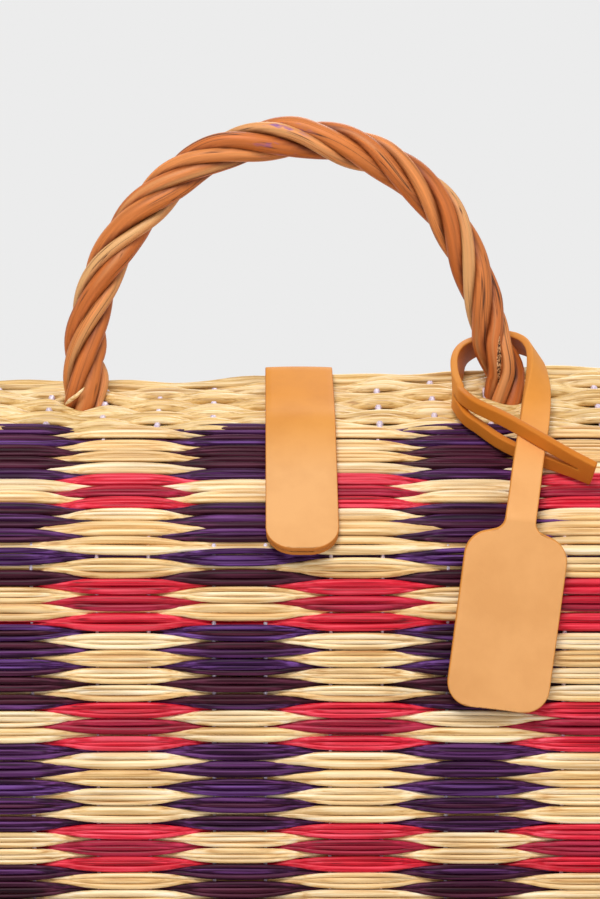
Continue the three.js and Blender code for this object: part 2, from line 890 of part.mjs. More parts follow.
const tilt = THREE.MathUtils.degToRad(tagTilt);
const acrossTag = new THREE.Vector3(Math.cos(tilt), 0, -Math.sin(tilt));
const upTag = new THREE.Vector3(Math.sin(tilt), 0, Math.cos(tilt));
const tagPlateY = frontY - tagStandoff - tagThickness / 2;
const tagNeck = new THREE.Vector3(legX - tagHang, tagPlateY, foldHeight + tagNeckRise);

// Half widths of the plate at distances up from its bottom: rounded corners, shoulders
// that droop, and fillets where the strap leaves it
function tagHalfWidths() {
  const half = tagWidth / 2;
  const corner = Math.min(tagCornerRadius, half / 2);
  const shoulderTurn = THREE.MathUtils.degToRad(90 - tagShoulderDroop);
  const steps = [0, 0.25, 0.5, 0.75, 1];
  const bottom = steps.map((share) => {
    const angle = (Math.PI / 2) * share;
    return [corner * (1 - Math.cos(angle)), half - corner * (1 - Math.sin(angle))];
  });
  const shoulders = steps.map((share) => {
    const angle = shoulderTurn * share;
    return [tagLength - corner * (1 - Math.sin(angle)), half - corner * (1 - Math.cos(angle))];
  });
  const [shoulderEnd, shoulderHalf] = shoulders[shoulders.length - 1];
  const filletHalf = strapWidth / 2 + tagNeckFillet * (1 - Math.cos(shoulderTurn));
  const filletEnd = shoulderEnd + (shoulderHalf - filletHalf) / Math.tan(shoulderTurn);
  const fillets = steps.map((share) => {
    const angle = shoulderTurn * (1 - share);
    const rise = tagNeckFillet * (Math.sin(shoulderTurn) - Math.sin(angle));
    return [filletEnd + rise, strapWidth / 2 + tagNeckFillet * (1 - Math.cos(angle))];
  });
  return [...bottom, ...shoulders, ...fillets];
}

function tagPlateRings() {
  const out = acrossTag.clone().cross(upTag);
  return tagHalfWidths().map(([up, half]) => {
    const centre = tagNeck.clone().addScaledVector(upTag, up - tagLength - tagNeckLength);
    return stripRing(centre, out, acrossTag, 2 * half);
  });
}

// The strap's route, each place with the direction of the strap's width. Up the front
// slope a place is x beside the leg, distance up from the fold and height over the mat
const strapUp = [
  [[1.2, 20.9, 8.6], [0.99, 0, -0.12]],
  [[3.3, 33.4, 9.2], [0.99, 0, -0.12]],
  [[5.8, 46.6, 9.2], [0.99, 0, -0.12]],
  [[8.6, 60.3, 9], [0.98, 0.1, -0.12]],
];
// Round the leg a place is taken from the leg's line at the crest's height
const strapRound = [
  [[10.7, -29, -9.6], [0.9, 0.42, -0.1]],
  [[12.7, -19.4, -1.6], [0.72, 0.68, -0.1]],
  [[13.2, -11.3, 5.4], [0.5, 0.85, -0.15]],
  [[13, -3.2, 10.1], [0.36, 0.86, -0.36]],
  [[10.1, 6.6, 13.4], [0.2, 0.84, -0.51]],
  [[3.3, 14.7, 14.9], [0.06, 0.78, -0.62]],
  [[-5.2, 17.7, 14.2], [0, 0.77, -0.64]],
  [[-12.8, 14.8, 11.9], [0.1, 0.8, -0.6]],
  [[-18.2, 6.7, 9.1], [0.26, 0.85, -0.46]],
  [[-21.1, -2.3, 4.8], [0.36, 0.86, -0.36]],
  [[-22.8, -12.3, -1.6], [0.12, 0.85, -0.51]],
  [[-22.4, -23, -7.5], [-0.2, 0.74, -0.64]],
];
// The two limbs beside the slit, and the end where they join again
const upperLimb = [
  [[-17.3, 67.6, 13.5], [-0.06, 0.58, -0.81]],
  [[-10.6, 62.8, 13.6], [0, 0.47, -0.88]],
  [[-5.1, 58.5, 14.2], [0, 0.45, -0.89]],
  [[5.6, 49.6, 14.2], [0, 0.45, -0.89]],
  [[17.1, 41.4, 12.5], [0, 0.52, -0.85]],
];
const lowerLimb = [
  [[-19.2, 66.5, 5.1], [-0.12, 0.6, -0.8]],
  [[-15.3, 64.3, 4.4], [-0.05, 0.55, -0.83]],
  [[-9.9, 58.3, 4], [0, 0.5, -0.87]],
  [[-3.7, 52.8, 3.9], [0, 0.5, -0.87]],
  [[3.8, 47.8, 3.9], [0, 0.5, -0.87]],
  [[12.3, 43.8, 3.9], [0, 0.5, -0.87]],
];
const strapEnd = [
  [[23.9, 37.1, 8], [0, 0.6, -0.8]],
  [[31.2, 33.3, 7], [0, 0.68, -0.73]],
];

function besideLeg([[dx, distance, height], spread]) {
  const onTop = distance > slopeLength
    ? onBand(distance - slopeLength, height)
    : onSlope(distance, height);
  return [in3d(legX + dx, onTop), new THREE.Vector3(...spread).normalize()];
}

function roundLeg([[dx, dy, dz], spread]) {
  const centre = new THREE.Vector3(legX + dx, handleY + dy, crestHeight + dz);
  return [centre, new THREE.Vector3(...spread).normalize()];
}

// The line of one limb, to one side of the strap's middle
function shifted([centre, spread], distance) {
  return [centre.clone().addScaledVector(spread, distance), spread];
}

function buildTag() {
  const beforeNeck = tagNeck.clone().addScaledVector(upTag, -tagNeckLength);
  const route = [
    [beforeNeck, acrossTag],
    [tagNeck, acrossTag],
    ...strapUp.map(besideLeg),
    ...strapRound.map(roundLeg),
  ];
  const limbWidth = (strapWidth - slitWidth) / 2;
  const aside = (strapWidth - limbWidth) / 2;
  const beforeSlit = route.slice(-3);
  const end = strapEnd.map(besideLeg);
  const limbs = [[-aside, upperLimb], [aside, lowerLimb]].map(([distance, places]) => stripRings([
    ...beforeSlit.map((station) => shifted(station, distance)),
    ...places.map(besideLeg),
    ...end.map((station) => shifted(station, distance)),
  ], limbWidth));
  const main = [...tagPlateRings(), ...stripRings(route, strapWidth)];
  const [endStart, endTip] = end;
  const beforeEnd = [endStart[0].clone().multiplyScalar(2).sub(endTip[0]), endStart[1]];
  const pieces = [main, ...limbs, stripRings([beforeEnd, endStart, endTip], strapWidth)];
  const solids = pieces.map((rings) => toSolid(strip(rings)));
  return toGeometry(solids.reduce((whole, solid) => whole.add(solid)));
}

addPiece('luggage_tag', buildTag(), colours.leather, 0.6);

export default bag;
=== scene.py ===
import bisect
import math
import random

import bmesh
import bpy
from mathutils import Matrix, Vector, kdtree, noise


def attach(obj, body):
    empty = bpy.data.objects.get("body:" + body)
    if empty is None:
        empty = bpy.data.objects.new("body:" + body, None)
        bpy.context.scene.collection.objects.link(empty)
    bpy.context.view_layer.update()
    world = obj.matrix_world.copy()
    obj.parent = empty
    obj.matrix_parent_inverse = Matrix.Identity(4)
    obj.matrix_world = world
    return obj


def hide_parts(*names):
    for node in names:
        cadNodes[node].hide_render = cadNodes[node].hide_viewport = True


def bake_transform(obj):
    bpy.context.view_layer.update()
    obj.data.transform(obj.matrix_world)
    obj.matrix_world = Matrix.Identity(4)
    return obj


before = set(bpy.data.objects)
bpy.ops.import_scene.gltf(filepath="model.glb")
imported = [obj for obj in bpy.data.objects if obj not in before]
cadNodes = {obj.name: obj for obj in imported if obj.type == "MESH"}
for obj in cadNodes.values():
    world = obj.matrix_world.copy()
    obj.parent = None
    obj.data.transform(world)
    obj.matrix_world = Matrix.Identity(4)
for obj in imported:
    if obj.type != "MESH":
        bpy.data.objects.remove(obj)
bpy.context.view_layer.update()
mm = 0.001
scene = bpy.context.scene
dice = random.Random(41)


def smooth(value):
    value = min(max(value, 0.0), 1.0)
    return value * value * (3 - 2 * value)


def wobble(x, y):
    return noise.noise(Vector((x, y, 0.0)))  # smooth, between about -1 and 1, the same each run


def sway(shape, key, at, seed):
    # A shape's named swing, which changes over its own length
    return shape[key] * wobble(at / shape[key + "Length"], seed)


def srgb(red, green, blue):
    linear = []
    for part in (red, green, blue):
        part /= 255
        linear.append(part / 12.92 if part <= 0.04045 else ((part + 0.055) / 1.055) ** 2.4)
    return (*linear, 1.0)


# Camera: a portrait frame of 600 x 899, seen from a little left of the middle
cameraSet = {
    "place": (-14, -993, 311.8), "tilt": 6, "lens": 89.1, "sensor": 36, "shift": 0.0423, "clipStart": 10,
}


def addCamera():
    data = bpy.data.cameras.new("camera")
    data.sensor_width = cameraSet["sensor"]
    data.lens = cameraSet["lens"]
    data.shift_x = cameraSet["shift"]
    data.clip_start = cameraSet["clipStart"] * mm
    camera = bpy.data.objects.new("camera", data)
    camera.location = Vector(cameraSet["place"]) * mm
    camera.rotation_euler = (math.radians(90 - cameraSet["tilt"]), 0, 0)
    scene.collection.objects.link(camera)
    scene.camera = camera


addCamera()
scene.view_settings.view_transform = "Standard"
print("camera placed")


# Nodes
def addNode(tree, kind, inputs=None, **settings):
    node = tree.nodes.new(kind)
    for name, value in settings.items():
        setattr(node, name, value)
    for name, value in (inputs or {}).items():
        if isinstance(value, bpy.types.NodeSocket):
            tree.links.new(value, node.inputs[name])
        else:
            node.inputs[name].default_value = value
    return node


def addMath(tree, operation, first, second=0.0):
    return addNode(tree, "ShaderNodeMath", {0: first, 1: second}, operation=operation).outputs[0]


def addRange(tree, value, low, high):
    # 0 where the value is low and 1 where it is high
    return addNode(tree, "ShaderNodeMapRange", {
        "Value": value, "From Min": low, "From Max": high,
    }).outputs["Result"]


def addAttribute(tree, name):
    return addNode(tree, "ShaderNodeAttribute", attribute_name=name).outputs["Fac"]


def objectCoords(tree):
    return addNode(tree, "ShaderNodeTexCoord").outputs["Object"]


def stretchedNoise(tree, vector, scale, detail=3.0, roughness=0.55):
    mapping = addNode(tree, "ShaderNodeMapping", {"Vector": vector, "Scale": scale})
    return addNode(tree, "ShaderNodeTexNoise", {
        "Vector": mapping.outputs["Vector"], "Scale": 1.0, "Detail": detail, "Roughness": roughness,
    }).outputs["Fac"]


def ramp(tree, factor, stops):
    node = addNode(tree, "ShaderNodeValToRGB", {"Fac": factor})
    elements = node.color_ramp.elements
    while len(elements) < len(stops):
        elements.new(0.5)
    for element, (place, colour) in zip(elements, stops):
        element.position = place
        element.color = colour
    return node.outputs["Color"]


def mask(tree, factor, stops):
    return ramp(tree, factor, [(place, (level, level, level, 1)) for place, level in stops])


def dyes(stops):
    return [(place, srgb(*tone)) for place, tone in stops]


def dimmed(colour, share):
    return (*(share * part for part in colour[:3]), 1.0)


def blendColours(tree, factor, first, second, mode="MIX"):
    node = tree.nodes.new("ShaderNodeMix")
    node.data_type = "RGBA"
    node.blend_type = mode
    for socket, value in ((0, factor), (6, first), (7, second)):
        if isinstance(value, bpy.types.NodeSocket):
            tree.links.new(value, node.inputs[socket])
        else:
            node.inputs[socket].default_value = value
    return node.outputs[2]


def startMaterial(name, roughness, gloss=0.5, metallic=0.0):
    material = bpy.data.materials.new(name)
    material.use_nodes = True
    tree = material.node_tree
    shader = tree.nodes["Principled BSDF"]
    shader.inputs["Roughness"].default_value = roughness
    shader.inputs["Specular IOR Level"].default_value = gloss
    shader.inputs["Metallic"].default_value = metallic
    return material, tree, shader


def finishMaterial(tree, shader, colour, height, bump):
    # bump is the strength and the distance of the relief
    strength, distance = bump
    relief = addNode(tree, "ShaderNodeBump", {
        "Height": height, "Strength": strength, "Distance": distance * mm,
    })
    tree.links.new(colour, shader.inputs["Base Color"])
    tree.links.new(relief.outputs["Normal"], shader.inputs["Normal"])


# Studio: a pale floor, soft lamps and a pale surround
studio = {
    "floorRadius": 1500, "floorSides": 96, "floorColour": srgb(226, 226, 226), "floorDull": 0.97,
    "floorRoughness": 0.9, "fibreScale": (40, 40, 40), "background": srgb(236, 236, 236), "fill": 0.42,
    "lamps": {
        "keyLamp": {"place": (-250, -1150, 1500), "aim": (0, -60, 200), "size": 800, "watts": 22.5},
        "sideLamp": {"place": (1300, -900, 700), "aim": (0, 0, 150), "size": 1200, "watts": 3},
        "backLamp": {"place": (300, 1300, 1300), "aim": (0, 0, 200), "size": 1000, "watts": 10},
    },
}


def addFloor():
    floorMaterial, tree, shader = startMaterial("floorPaper", studio["floorRoughness"])
    fibre = stretchedNoise(tree, objectCoords(tree), studio["fibreScale"], 4)
    pale = studio["floorColour"]
    paper = ramp(tree, fibre, [(0.3, dimmed(pale, studio["floorDull"])), (0.7, pale)])
    tree.links.new(paper, shader.inputs["Base Color"])
    mesh = bpy.data.meshes.new("floor")
    shape = bmesh.new()
    bmesh.ops.create_circle(
        shape, cap_ends=True, segments=studio["floorSides"], radius=studio["floorRadius"] * mm,
    )
    shape.to_mesh(mesh)
    shape.free()
    mesh.materials.append(floorMaterial)
    floor = bpy.data.objects.new("floor", mesh)
    scene.collection.objects.link(floor)


def addSurround():
    # Rays that come straight, by a reflection or through glass see the pale background
    world = bpy.data.worlds.new("surround")
    world.use_nodes = True
    scene.world = world
    tree = world.node_tree
    tree.nodes.clear()
    light = addNode(tree, "ShaderNodeBackground", {"Color": (1, 1, 1, 1), "Strength": studio["fill"]})
    seen = addNode(tree, "ShaderNodeBackground", {"Color": studio["background"], "Strength": 1.0})
    path = addNode(tree, "ShaderNodeLightPath").outputs
    either = addMath(tree, "MAXIMUM", path["Is Camera Ray"], path["Is Glossy Ray"])
    anyRay = addMath(tree, "MAXIMUM", either, path["Is Transmission Ray"])
    mix = addNode(tree, "ShaderNodeMixShader", {0: anyRay, 1: light.outputs[0], 2: seen.outputs[0]})
    addNode(tree, "ShaderNodeOutputWorld", {"Surface": mix.outputs[0]})


def addLamps():
    for name, lamp in studio["lamps"].items():
        data = bpy.data.lights.new(name, "AREA")
        data.shape = "DISK"
        data.size = lamp["size"] * mm
        data.energy = lamp["watts"]
        holder = bpy.data.objects.new(name, data)
        holder.location = Vector(lamp["place"]) * mm
        sight = (Vector(lamp["aim"]) * mm - holder.location).normalized()
        holder.rotation_euler = sight.to_track_quat("-Z", "Y").to_euler()
        scene.collection.objects.link(holder)


addFloor()
addSurround()
addLamps()
print("studio lit")

# Finishes. Each reed colour has several tones, because no two reeds take the dye alike.
# A tone is the dye in the grain's lines, on the plain skin and on its pale streaks.
reedTones = {
    "cream": [
        ((196, 140, 72), (243, 206, 146), (255, 236, 200)),
        ((188, 132, 64), (238, 197, 132), (252, 228, 184)),
        ((204, 154, 90), (247, 216, 162), (255, 240, 212)),
        ((184, 126, 62), (232, 188, 122), (249, 220, 170)),
    ],
    "natural": [
        ((176, 128, 66), (228, 190, 122), (246, 222, 172)),
        ((168, 120, 58), (220, 180, 110), (240, 212, 156)),
        ((184, 138, 78), (234, 200, 138), (250, 228, 184)),
    ],
    "red": [
        ((122, 4, 22), (210, 14, 42), (240, 72, 92)),
        ((132, 6, 28), (218, 24, 52), (246, 96, 116)),
        ((98, 4, 20), (182, 10, 38), (218, 52, 78)),
        ((80, 4, 20), (152, 12, 42), (192, 46, 80)),
    ],
    "purple": [
        ((24, 5, 30), (58, 18, 64), (120, 74, 150)),
        ((24, 4, 18), (53, 11, 34), (98, 44, 78)),
        ((22, 4, 24), (52, 14, 48), (112, 60, 124)),
        ((26, 5, 15), (55, 12, 28), (94, 40, 62)),
    ],
}
reedFinish = {
    "roughness": 0.42, "bump": (0.3, 0.35), "tonesAt": (0.3, 0.47, 0.68),
    "gloss": {"cream": 0.4, "natural": 0.36, "red": 0.24, "purple": 0.12},
    "streaksAlong": 10, "streaksAcross": 850, "patchesAlong": 26.4, "patchesAcross": 192,
    "patches": [(0.32, (0.8, 0.77, 0.74, 1)), (0.55, (1, 1, 1, 1))],
}


def reedMaterial(name, colourName, tones, axis):
    # axis is the one that the reed runs along
    def grain(layer, *detail):
        scale = [reedFinish[layer + "Across"]] * 3
        scale[axis] = reedFinish[layer + "Along"]
        return stretchedNoise(tree, coords, scale, *detail)

    gloss = reedFinish["gloss"][colourName]
    material, tree, shader = startMaterial(name, reedFinish["roughness"], gloss)
    coords = objectCoords(tree)
    streaks = grain("streaks", 3, 0.6)
    colour = ramp(tree, streaks, dyes(zip(reedFinish["tonesAt"], tones)))
    shade = ramp(tree, grain("patches", 2), reedFinish["patches"])
    colour = blendColours(tree, 1.0, colour, shade, "MULTIPLY")
    finishMaterial(tree, shader, colour, streaks, reedFinish["bump"])
    return material


def allTones(axis, suffix):
    # A list of materials in one order, and where each colour's tones stand in it
    palette, places = [], {}
    for colour, tones in reedTones.items():
        places[colour] = []
        for number, tone in enumerate(tones):
            places[colour].append(len(palette))
            palette.append(reedMaterial(f"{colour}Reed{number + 1}{suffix}", colour, tone, axis))
    return palette, places


reedsAcross, toneAt = allTones(0, "Across")
reedsDeep, toneAtDeep = allTones(1, "Deep")

streakyFinishes = {
    "warpCord": {
        "roughness": 0.38, "metallic": 0.0, "scale": (1400, 900, 900), "detail": 2, "bump": (0.5, 0.3),
        "tones": [(0.35, (186, 162, 190)), (0.6, (238, 226, 238))],
    },
    "nickelPlate": {
        "roughness": 0.32, "metallic": 1.0, "scale": (120, 2600, 2600), "detail": 3, "bump": (0.12, 0.1),
        "tones": [(0.3, (150, 148, 144)), (0.7, (205, 203, 198))],
    },
    "willowStiffener": {
        "roughness": 0.5, "metallic": 0.0, "scale": (12, 500, 500), "detail": 4, "bump": (0.4, 0.5),
        "tones": [(0.3, (140, 82, 42)), (0.5, (192, 124, 70)), (0.75, (218, 160, 104))],
    },
}


def streakyMaterial(name):
    finish = streakyFinishes[name]
    material, tree, shader = startMaterial(name, finish["roughness"], metallic=finish["metallic"])
    streaks = stretchedNoise(tree, objectCoords(tree), finish["scale"], finish["detail"])
    finishMaterial(tree, shader, ramp(tree, streaks, dyes(finish["tones"])), streaks, finish["bump"])
    return material


# Bark: the noises are scaled along the rod and round it. A crack follows the middle value
# of one noise where a second one allows it
willowFinish = {
    "roughness": 0.5, "gloss": 0.3, "bump": (0.35, 0.5), "seedShift": (3.1, 1.7),
    "tones": [(198, 114, 54), (212, 134, 76), (188, 102, 44), (208, 128, 68), (194, 108, 50)],
    "bark": (10, 11, 1), "shades": [(0.3, 0.62), (0.44, 0.94), (0.58, 1.1), (0.74, 1.4)],
    "peeled": (2.0, 2.6, 1), "peelSoft": 0.18, "pale": (220, 166, 108),
    "lines": (5, 9, 1), "lineStops": [(0.482, 0), (0.5, 1), (0.518, 0)], "crack": (78, 40, 18),
    "places": (16, 3, 1), "placeStops": [(0.5, 0), (0.58, 1)],
    "drops": (40, 6, 1), "dropStops": [(0.56, 0), (0.66, 1)], "stain": (120, 74, 150),
    # the last colour is the painted shade multiplied in deep between two rods
    "stainAt": (-6, -21, 350), "stainReach": 17, "grooveShade": (0.3, 0.2, 0.13, 1),
}
# On the right leg the bark has split and shows the pale pith
barkSplit = {
    "x": 89.8, "low": 236.5, "high": 261.5, "half": 1.25, "frontOf": -14, "soft": 0.4,
    "cells": (1200, 1200, 1000),
    "pith": [(0.44, (66, 34, 14)), (0.54, (190, 132, 82)), (0.72, (240, 206, 160))],
}


def splitBark(tree, coords, colour):
    place = addNode(tree, "ShaderNodeSeparateXYZ", {"Vector": coords}).outputs
    share = addRange(tree, place["Z"], barkSplit["low"] * mm, barkSplit["high"] * mm)
    width = addMath(tree, "SINE", addMath(tree, "MULTIPLY", share, math.pi))
    half = addMath(tree, "MULTIPLY", width, barkSplit["half"] * mm)
    aside = addMath(tree, "ABSOLUTE", addMath(tree, "SUBTRACT", place["X"], barkSplit["x"] * mm))
    inside = addMath(tree, "MULTIPLY", addMath(tree, "SUBTRACT", half, aside), 1 / (barkSplit["soft"] * mm))
    front = addMath(tree, "LESS_THAN", place["Y"], barkSplit["frontOf"] * mm)
    shown = addNode(tree, "ShaderNodeClamp", {"Value": addMath(tree, "MULTIPLY", inside, front)})
    pith = ramp(tree, stretchedNoise(tree, coords, barkSplit["cells"], 2), dyes(barkSplit["pith"]))
    return blendColours(tree, shown.outputs["Result"], colour, pith)


def willowMaterial(name, paleShare, seed):
    # The rods' own UV: x runs along the rod and y round it. Vertices lying deep between two
    # rods carry an attribute of 1 there, which darkens the bark as painted shade.
    def layer(key, *detail):
        return stretchedNoise(tree, vector, willowFinish[key], *detail)

    material, tree, shader = startMaterial(name, willowFinish["roughness"], willowFinish["gloss"])
    coords = addNode(tree, "ShaderNodeTexCoord").outputs
    shift = [seed * part for part in willowFinish["seedShift"]] + [0]
    vector = addNode(tree, "ShaderNodeMapping", {"Vector": coords["UV"], "Location": shift}).outputs["Vector"]
    bark = layer("bark", 4)
    base = srgb(*willowFinish["tones"][seed])
    colour = ramp(tree, bark, [(place, dimmed(base, shade)) for place, shade in willowFinish["shades"]])
    peelStops = [(1 - paleShare, 0), (min(1.0, 1 + willowFinish["peelSoft"] - paleShare), 1)]
    peel = mask(tree, layer("peeled", 2), peelStops)
    colour = blendColours(tree, peel, colour, srgb(*willowFinish["pale"]))
    line = mask(tree, layer("lines", 1), willowFinish["lineStops"])
    place = mask(tree, layer("places", 0), willowFinish["placeStops"])
    crack = addMath(tree, "MULTIPLY", line, place)
    colour = blendColours(tree, crack, colour, srgb(*willowFinish["crack"]))
    away = addNode(tree, "ShaderNodeVectorMath", {
        0: coords["Object"], 1: [part * mm for part in willowFinish["stainAt"]],
    }, operation="DISTANCE").outputs["Value"]
    near = addRange(tree, away, willowFinish["stainReach"] * mm, 0.0)
    stain = addMath(tree, "MULTIPLY", near, mask(tree, layer("drops", 3), willowFinish["dropStops"]))
    colour = blendColours(tree, stain, colour, srgb(*willowFinish["stain"]))
    colour = splitBark(tree, coords["Object"], colour)
    # Painted shade: the colour is darkened where the rods meet, deep between them
    shadow = blendColours(tree, addAttribute(tree, "grooveShade"), (1, 1, 1, 1), willowFinish["grooveShade"])
    colour = blendColours(tree, 1.0, colour, shadow, "MULTIPLY")
    finishMaterial(tree, shader, colour, addMath(tree, "SUBTRACT", bark, crack), willowFinish["bump"])
    return material


# The high tones, darker and more orange, are painted shade on the leather that bends back near the top
leatherTones = {
    "tab": {"low": (226, 168, 108), "high": (213, 136, 34), "edge": (196, 118, 46), "flesh": (160, 104, 54)},
    "tag": {"low": (229, 166, 103), "high": (228, 150, 64), "edge": (212, 138, 60), "flesh": (196, 108, 28)},
}
# deep is the darker tone painted as shade on a slit strap's limbs and end
leatherFinish = {
    "roughness": 0.56, "gloss": 0.16, "bump": (0.14, 0.12), "poreScale": 1500, "deep": (198, 114, 28),
    "lowZ": 205, "highZ": 234, "nap": (700, 700, 700), "napShade": 0.8,
    "clouds": (45, 45, 45), "cloudStops": [(0.35, (0.93, 0.9, 0.86, 1)), (0.6, (1, 1, 1, 1))],
}


def leatherMaterial(name, tones):
    # Pieces carry three attributes: edge is 1 on a cut edge, flesh is 1 on the under side,
    # and the third is 1 on a slit strap's limbs and end, which take a darker tone as painted shade
    def cover(colour, attribute, tone):
        return blendColours(tree, addAttribute(tree, attribute), colour, tone)

    material, tree, shader = startMaterial(name, leatherFinish["roughness"], leatherFinish["gloss"])
    coords = objectCoords(tree)
    # Painted shade: the colour turns from the low tone to a darker, more orange one towards the top, where
    # the straps bend back from the light
    height = addNode(tree, "ShaderNodeSeparateXYZ", {"Vector": coords}).outputs["Z"]
    rise = addRange(tree, height, leatherFinish["lowZ"] * mm, leatherFinish["highZ"] * mm)
    colour = blendColours(tree, rise, srgb(*tones["low"]), srgb(*tones["high"]))
    cloud = ramp(tree, stretchedNoise(tree, coords, leatherFinish["clouds"], 4), leatherFinish["cloudStops"])
    colour = blendColours(tree, 1.0, colour, cloud, "MULTIPLY")
    nap = stretchedNoise(tree, coords, leatherFinish["nap"], 4, 0.7)
    flesh = srgb(*tones["flesh"])
    suede = ramp(tree, nap, [(0.3, dimmed(flesh, leatherFinish["napShade"])), (0.7, flesh)])
    colour = cover(colour, "flesh", suede)
    colour = cover(colour, "edge", srgb(*tones["edge"]))
    # Painted shade: the slit strap's limbs and end, which face down and away from the light, turn darker
    colour = cover(colour, "limbShade", srgb(*leatherFinish["deep"]))
    pores = addNode(tree, "ShaderNodeTexVoronoi", {
        "Vector": coords, "Scale": leatherFinish["poreScale"], "Randomness": 1.0,
    }).outputs["Distance"]
    finishMaterial(tree, shader, colour, addMath(tree, "ADD", pores, nap), leatherFinish["bump"])
    return material


warpCord = streakyMaterial("warpCord")
nickelPlate = streakyMaterial("nickelPlate")
stiffenerWillow = streakyMaterial("willowStiffener")
tabLeather = leatherMaterial("tabLeather", leatherTones["tab"])
tagLeather = leatherMaterial("tagLeather", leatherTones["tag"])
print("finishes mixed")

# Basket outline, seen from the side as (y, z), from the crest down the front, under
# the base, up the back and over the lid to the crest again
basket = {
    "corners": [(8, 241), (-41, 222), (-93, 178), (-93, 0), (93, 0), (93, 156)],
    "radii": [0, 30, 12, 16, 16, 10],
    "middle": 3.0, "arcSteps": 14, "halfWidth": 183.6,
    "legX": 93, "legY": -12.35, "legRadius": 9.9, "tabX": 2.5,
}
crestY, crestZ = basket["corners"][0]
shoulderY, shoulderZ = basket["corners"][1]


def stations(low, high, step):
    count = max(2, round((high - low) / step))
    return [low + (high - low) * i / count for i in range(count + 1)]


def leftOf(direction):
    return Vector((-direction.y, direction.x))


def insetCorners(inset):
    corners = [Vector(corner) for corner in basket["corners"]]
    moved = []
    for i, corner in enumerate(corners):
        arriving = (corner - corners[i - 1]).normalized()
        leaving = (corners[(i + 1) % len(corners)] - corner).normalized()
        bisector = (leftOf(arriving) + leftOf(leaving)).normalized()
        moved.append(corner + bisector * (inset / bisector.dot(leftOf(arriving))))
    return moved


def arcRound(corner, arriving, leaving, radius, outward, steps):
    # Points and outward normals round a corner. outward is 1 where the outside is on the
    # left of the line and -1 where it is on the right
    turn = math.acos(max(-1, min(1, arriving.dot(leaving))))
    spoke = leftOf(arriving) * radius * outward
    centre = corner - arriving * radius * math.tan(turn / 2) - spoke
    places = []
    for k in range(steps + 1):
        angle = -outward * turn * k / steps
        turned = Vector((
            spoke.x * math.cos(angle) - spoke.y * math.sin(angle),
            spoke.x * math.sin(angle) + spoke.y * math.cos(angle),
        ))
        places.append((centre + turned, turned.normalized()))
    return places


def measure(places):
    # Points and normals become a line of (distance, point, normal)
    line = []
    for point, normal in places:
        travelled = line[-1][0] + (point - line[-1][1]).length if line else 0.0
        line.append((travelled, point, normal))
    return line


def onLine(line, distance, height):
    # The point at a distance along a measured line, at a height over it
    i = min(max(bisect.bisect_right(line, distance, key=lambda place: place[0]), 1), len(line) - 1)
    before, after = line[i - 1], line[i]
    share = (distance - before[0]) / max(after[0] - before[0], 1e-6)
    normal = before[2].lerp(after[2], min(max(share, 0), 1)).normalized()
    return before[1] + (after[1] - before[1]) * share + normal * height


def traceOutline(inset):
    # The measured outline, and the distance at the middle of each corner
    corners = insetCorners(inset)
    count = len(corners)
    places, middles = [], []
    for i in range(count + 1):
        corner = corners[i % count]
        arriving = (corner - corners[(i - 1) % count]).normalized()
        leaving = (corners[(i + 1) % count] - corner).normalized()
        if i in (0, count):
            arc = [(corner, -leftOf(leaving if i == 0 else arriving))]
        else:
            arc = arcRound(corner, arriving, leaving, basket["radii"][i] - inset, -1, basket["arcSteps"])
        middles.append(len(places) + len(arc) // 2)
        places += arc
    line = measure(places)
    return line, [line[middle][0] for middle in middles]


outline, cornerAt = traceOutline(basket["middle"])
shoulderAt, foldAt, frontFootAt, backFootAt, hingeAt, wholeLength = cornerAt[1:]


def between(value, low, high):
    # A hump that is 1 midway between the two values and 0 outside them
    return 0.0 if value <= low or value >= high else math.sin(math.pi * (value - low) / (high - low))


# The sheets are not flat: the walls and the lid sag in a little, the top rises at the right
sag = {
    "front": 1.6, "base": 1.8, "back": 3.2, "lid": 2.4, "span": 1.9, "underFold": 30, "atHinge": 12,
    "atCrest": 42,
}
# How far the top rises at each x. Written by hand from the skyline of the photo, whose height
# a measuring script read beside that of the render
crestWave = [
    (-190, -0.6), (-140, -1.0), (-105, -2.2), (-62, -2.2), (-38, -0.9), (-16, 0.0), (20, 0.3), (44, 2.3),
    (75, 2.2), (112, 4.4), (150, 5.0), (190, 5.0),
]
crestWaveEndY = 60


def sagAt(x, distance):
    across = max(0.0, math.cos(math.pi * x / (sag["span"] * basket["halfWidth"])))
    return across * (
        sag["front"] * between(distance, foldAt + sag["underFold"], frontFootAt)
        + sag["base"] * between(distance, frontFootAt, backFootAt)
        + sag["back"] * between(distance, backFootAt, hingeAt - sag["atHinge"])
        + sag["lid"] * between(distance, hingeAt + sag["atHinge"], wholeLength - sag["atCrest"])
    )


def riseAt(x, y):
    if y < crestY:
        share = smooth((y - shoulderY) / (crestY - shoulderY))
    else:
        share = smooth((crestWaveEndY - y) / (crestWaveEndY - crestY))
    for (low, before), (high, after) in zip(crestWave, crestWave[1:]):
        if low <= x <= high:
            return (before + (after - before) * smooth((x - low) / (high - low))) * share
    return 0.0


def onBag(x, distance, height):
    point = onLine(outline, distance, height - sagAt(x, distance))
    return Vector((x, point.x, point.y + riseAt(x, point.x))) * mm


# Strands: splines with a round section, made a mesh when the piece is complete. A piece
# with no body of its own lies over the hinge, from the body to the lid, and is attached to neither
hingeReach = 11
beforeHinge, afterHinge = hingeAt - hingeReach, hingeAt + hingeReach


def startStrands(name, sides, materials):
    curve = bpy.data.curves.new(name, "CURVE")
    curve.dimensions = "3D"
    curve.bevel_depth = mm
    curve.bevel_resolution = (sides - 4) // 2
    curve.use_fill_caps = True
    for material in materials:
        curve.materials.append(material)
    return curve


def layStrand(curve, points, radii, tone=0):
    spline = curve.splines.new("POLY")
    spline.points.add(len(points) - 1)
    flat = []
    for point in points:
        flat.extend((*point, 1.0))
    spline.points.foreach_set("co", flat)
    spline.points.foreach_set("radius", radii)
    spline.material_index = tone
    spline.use_smooth = True


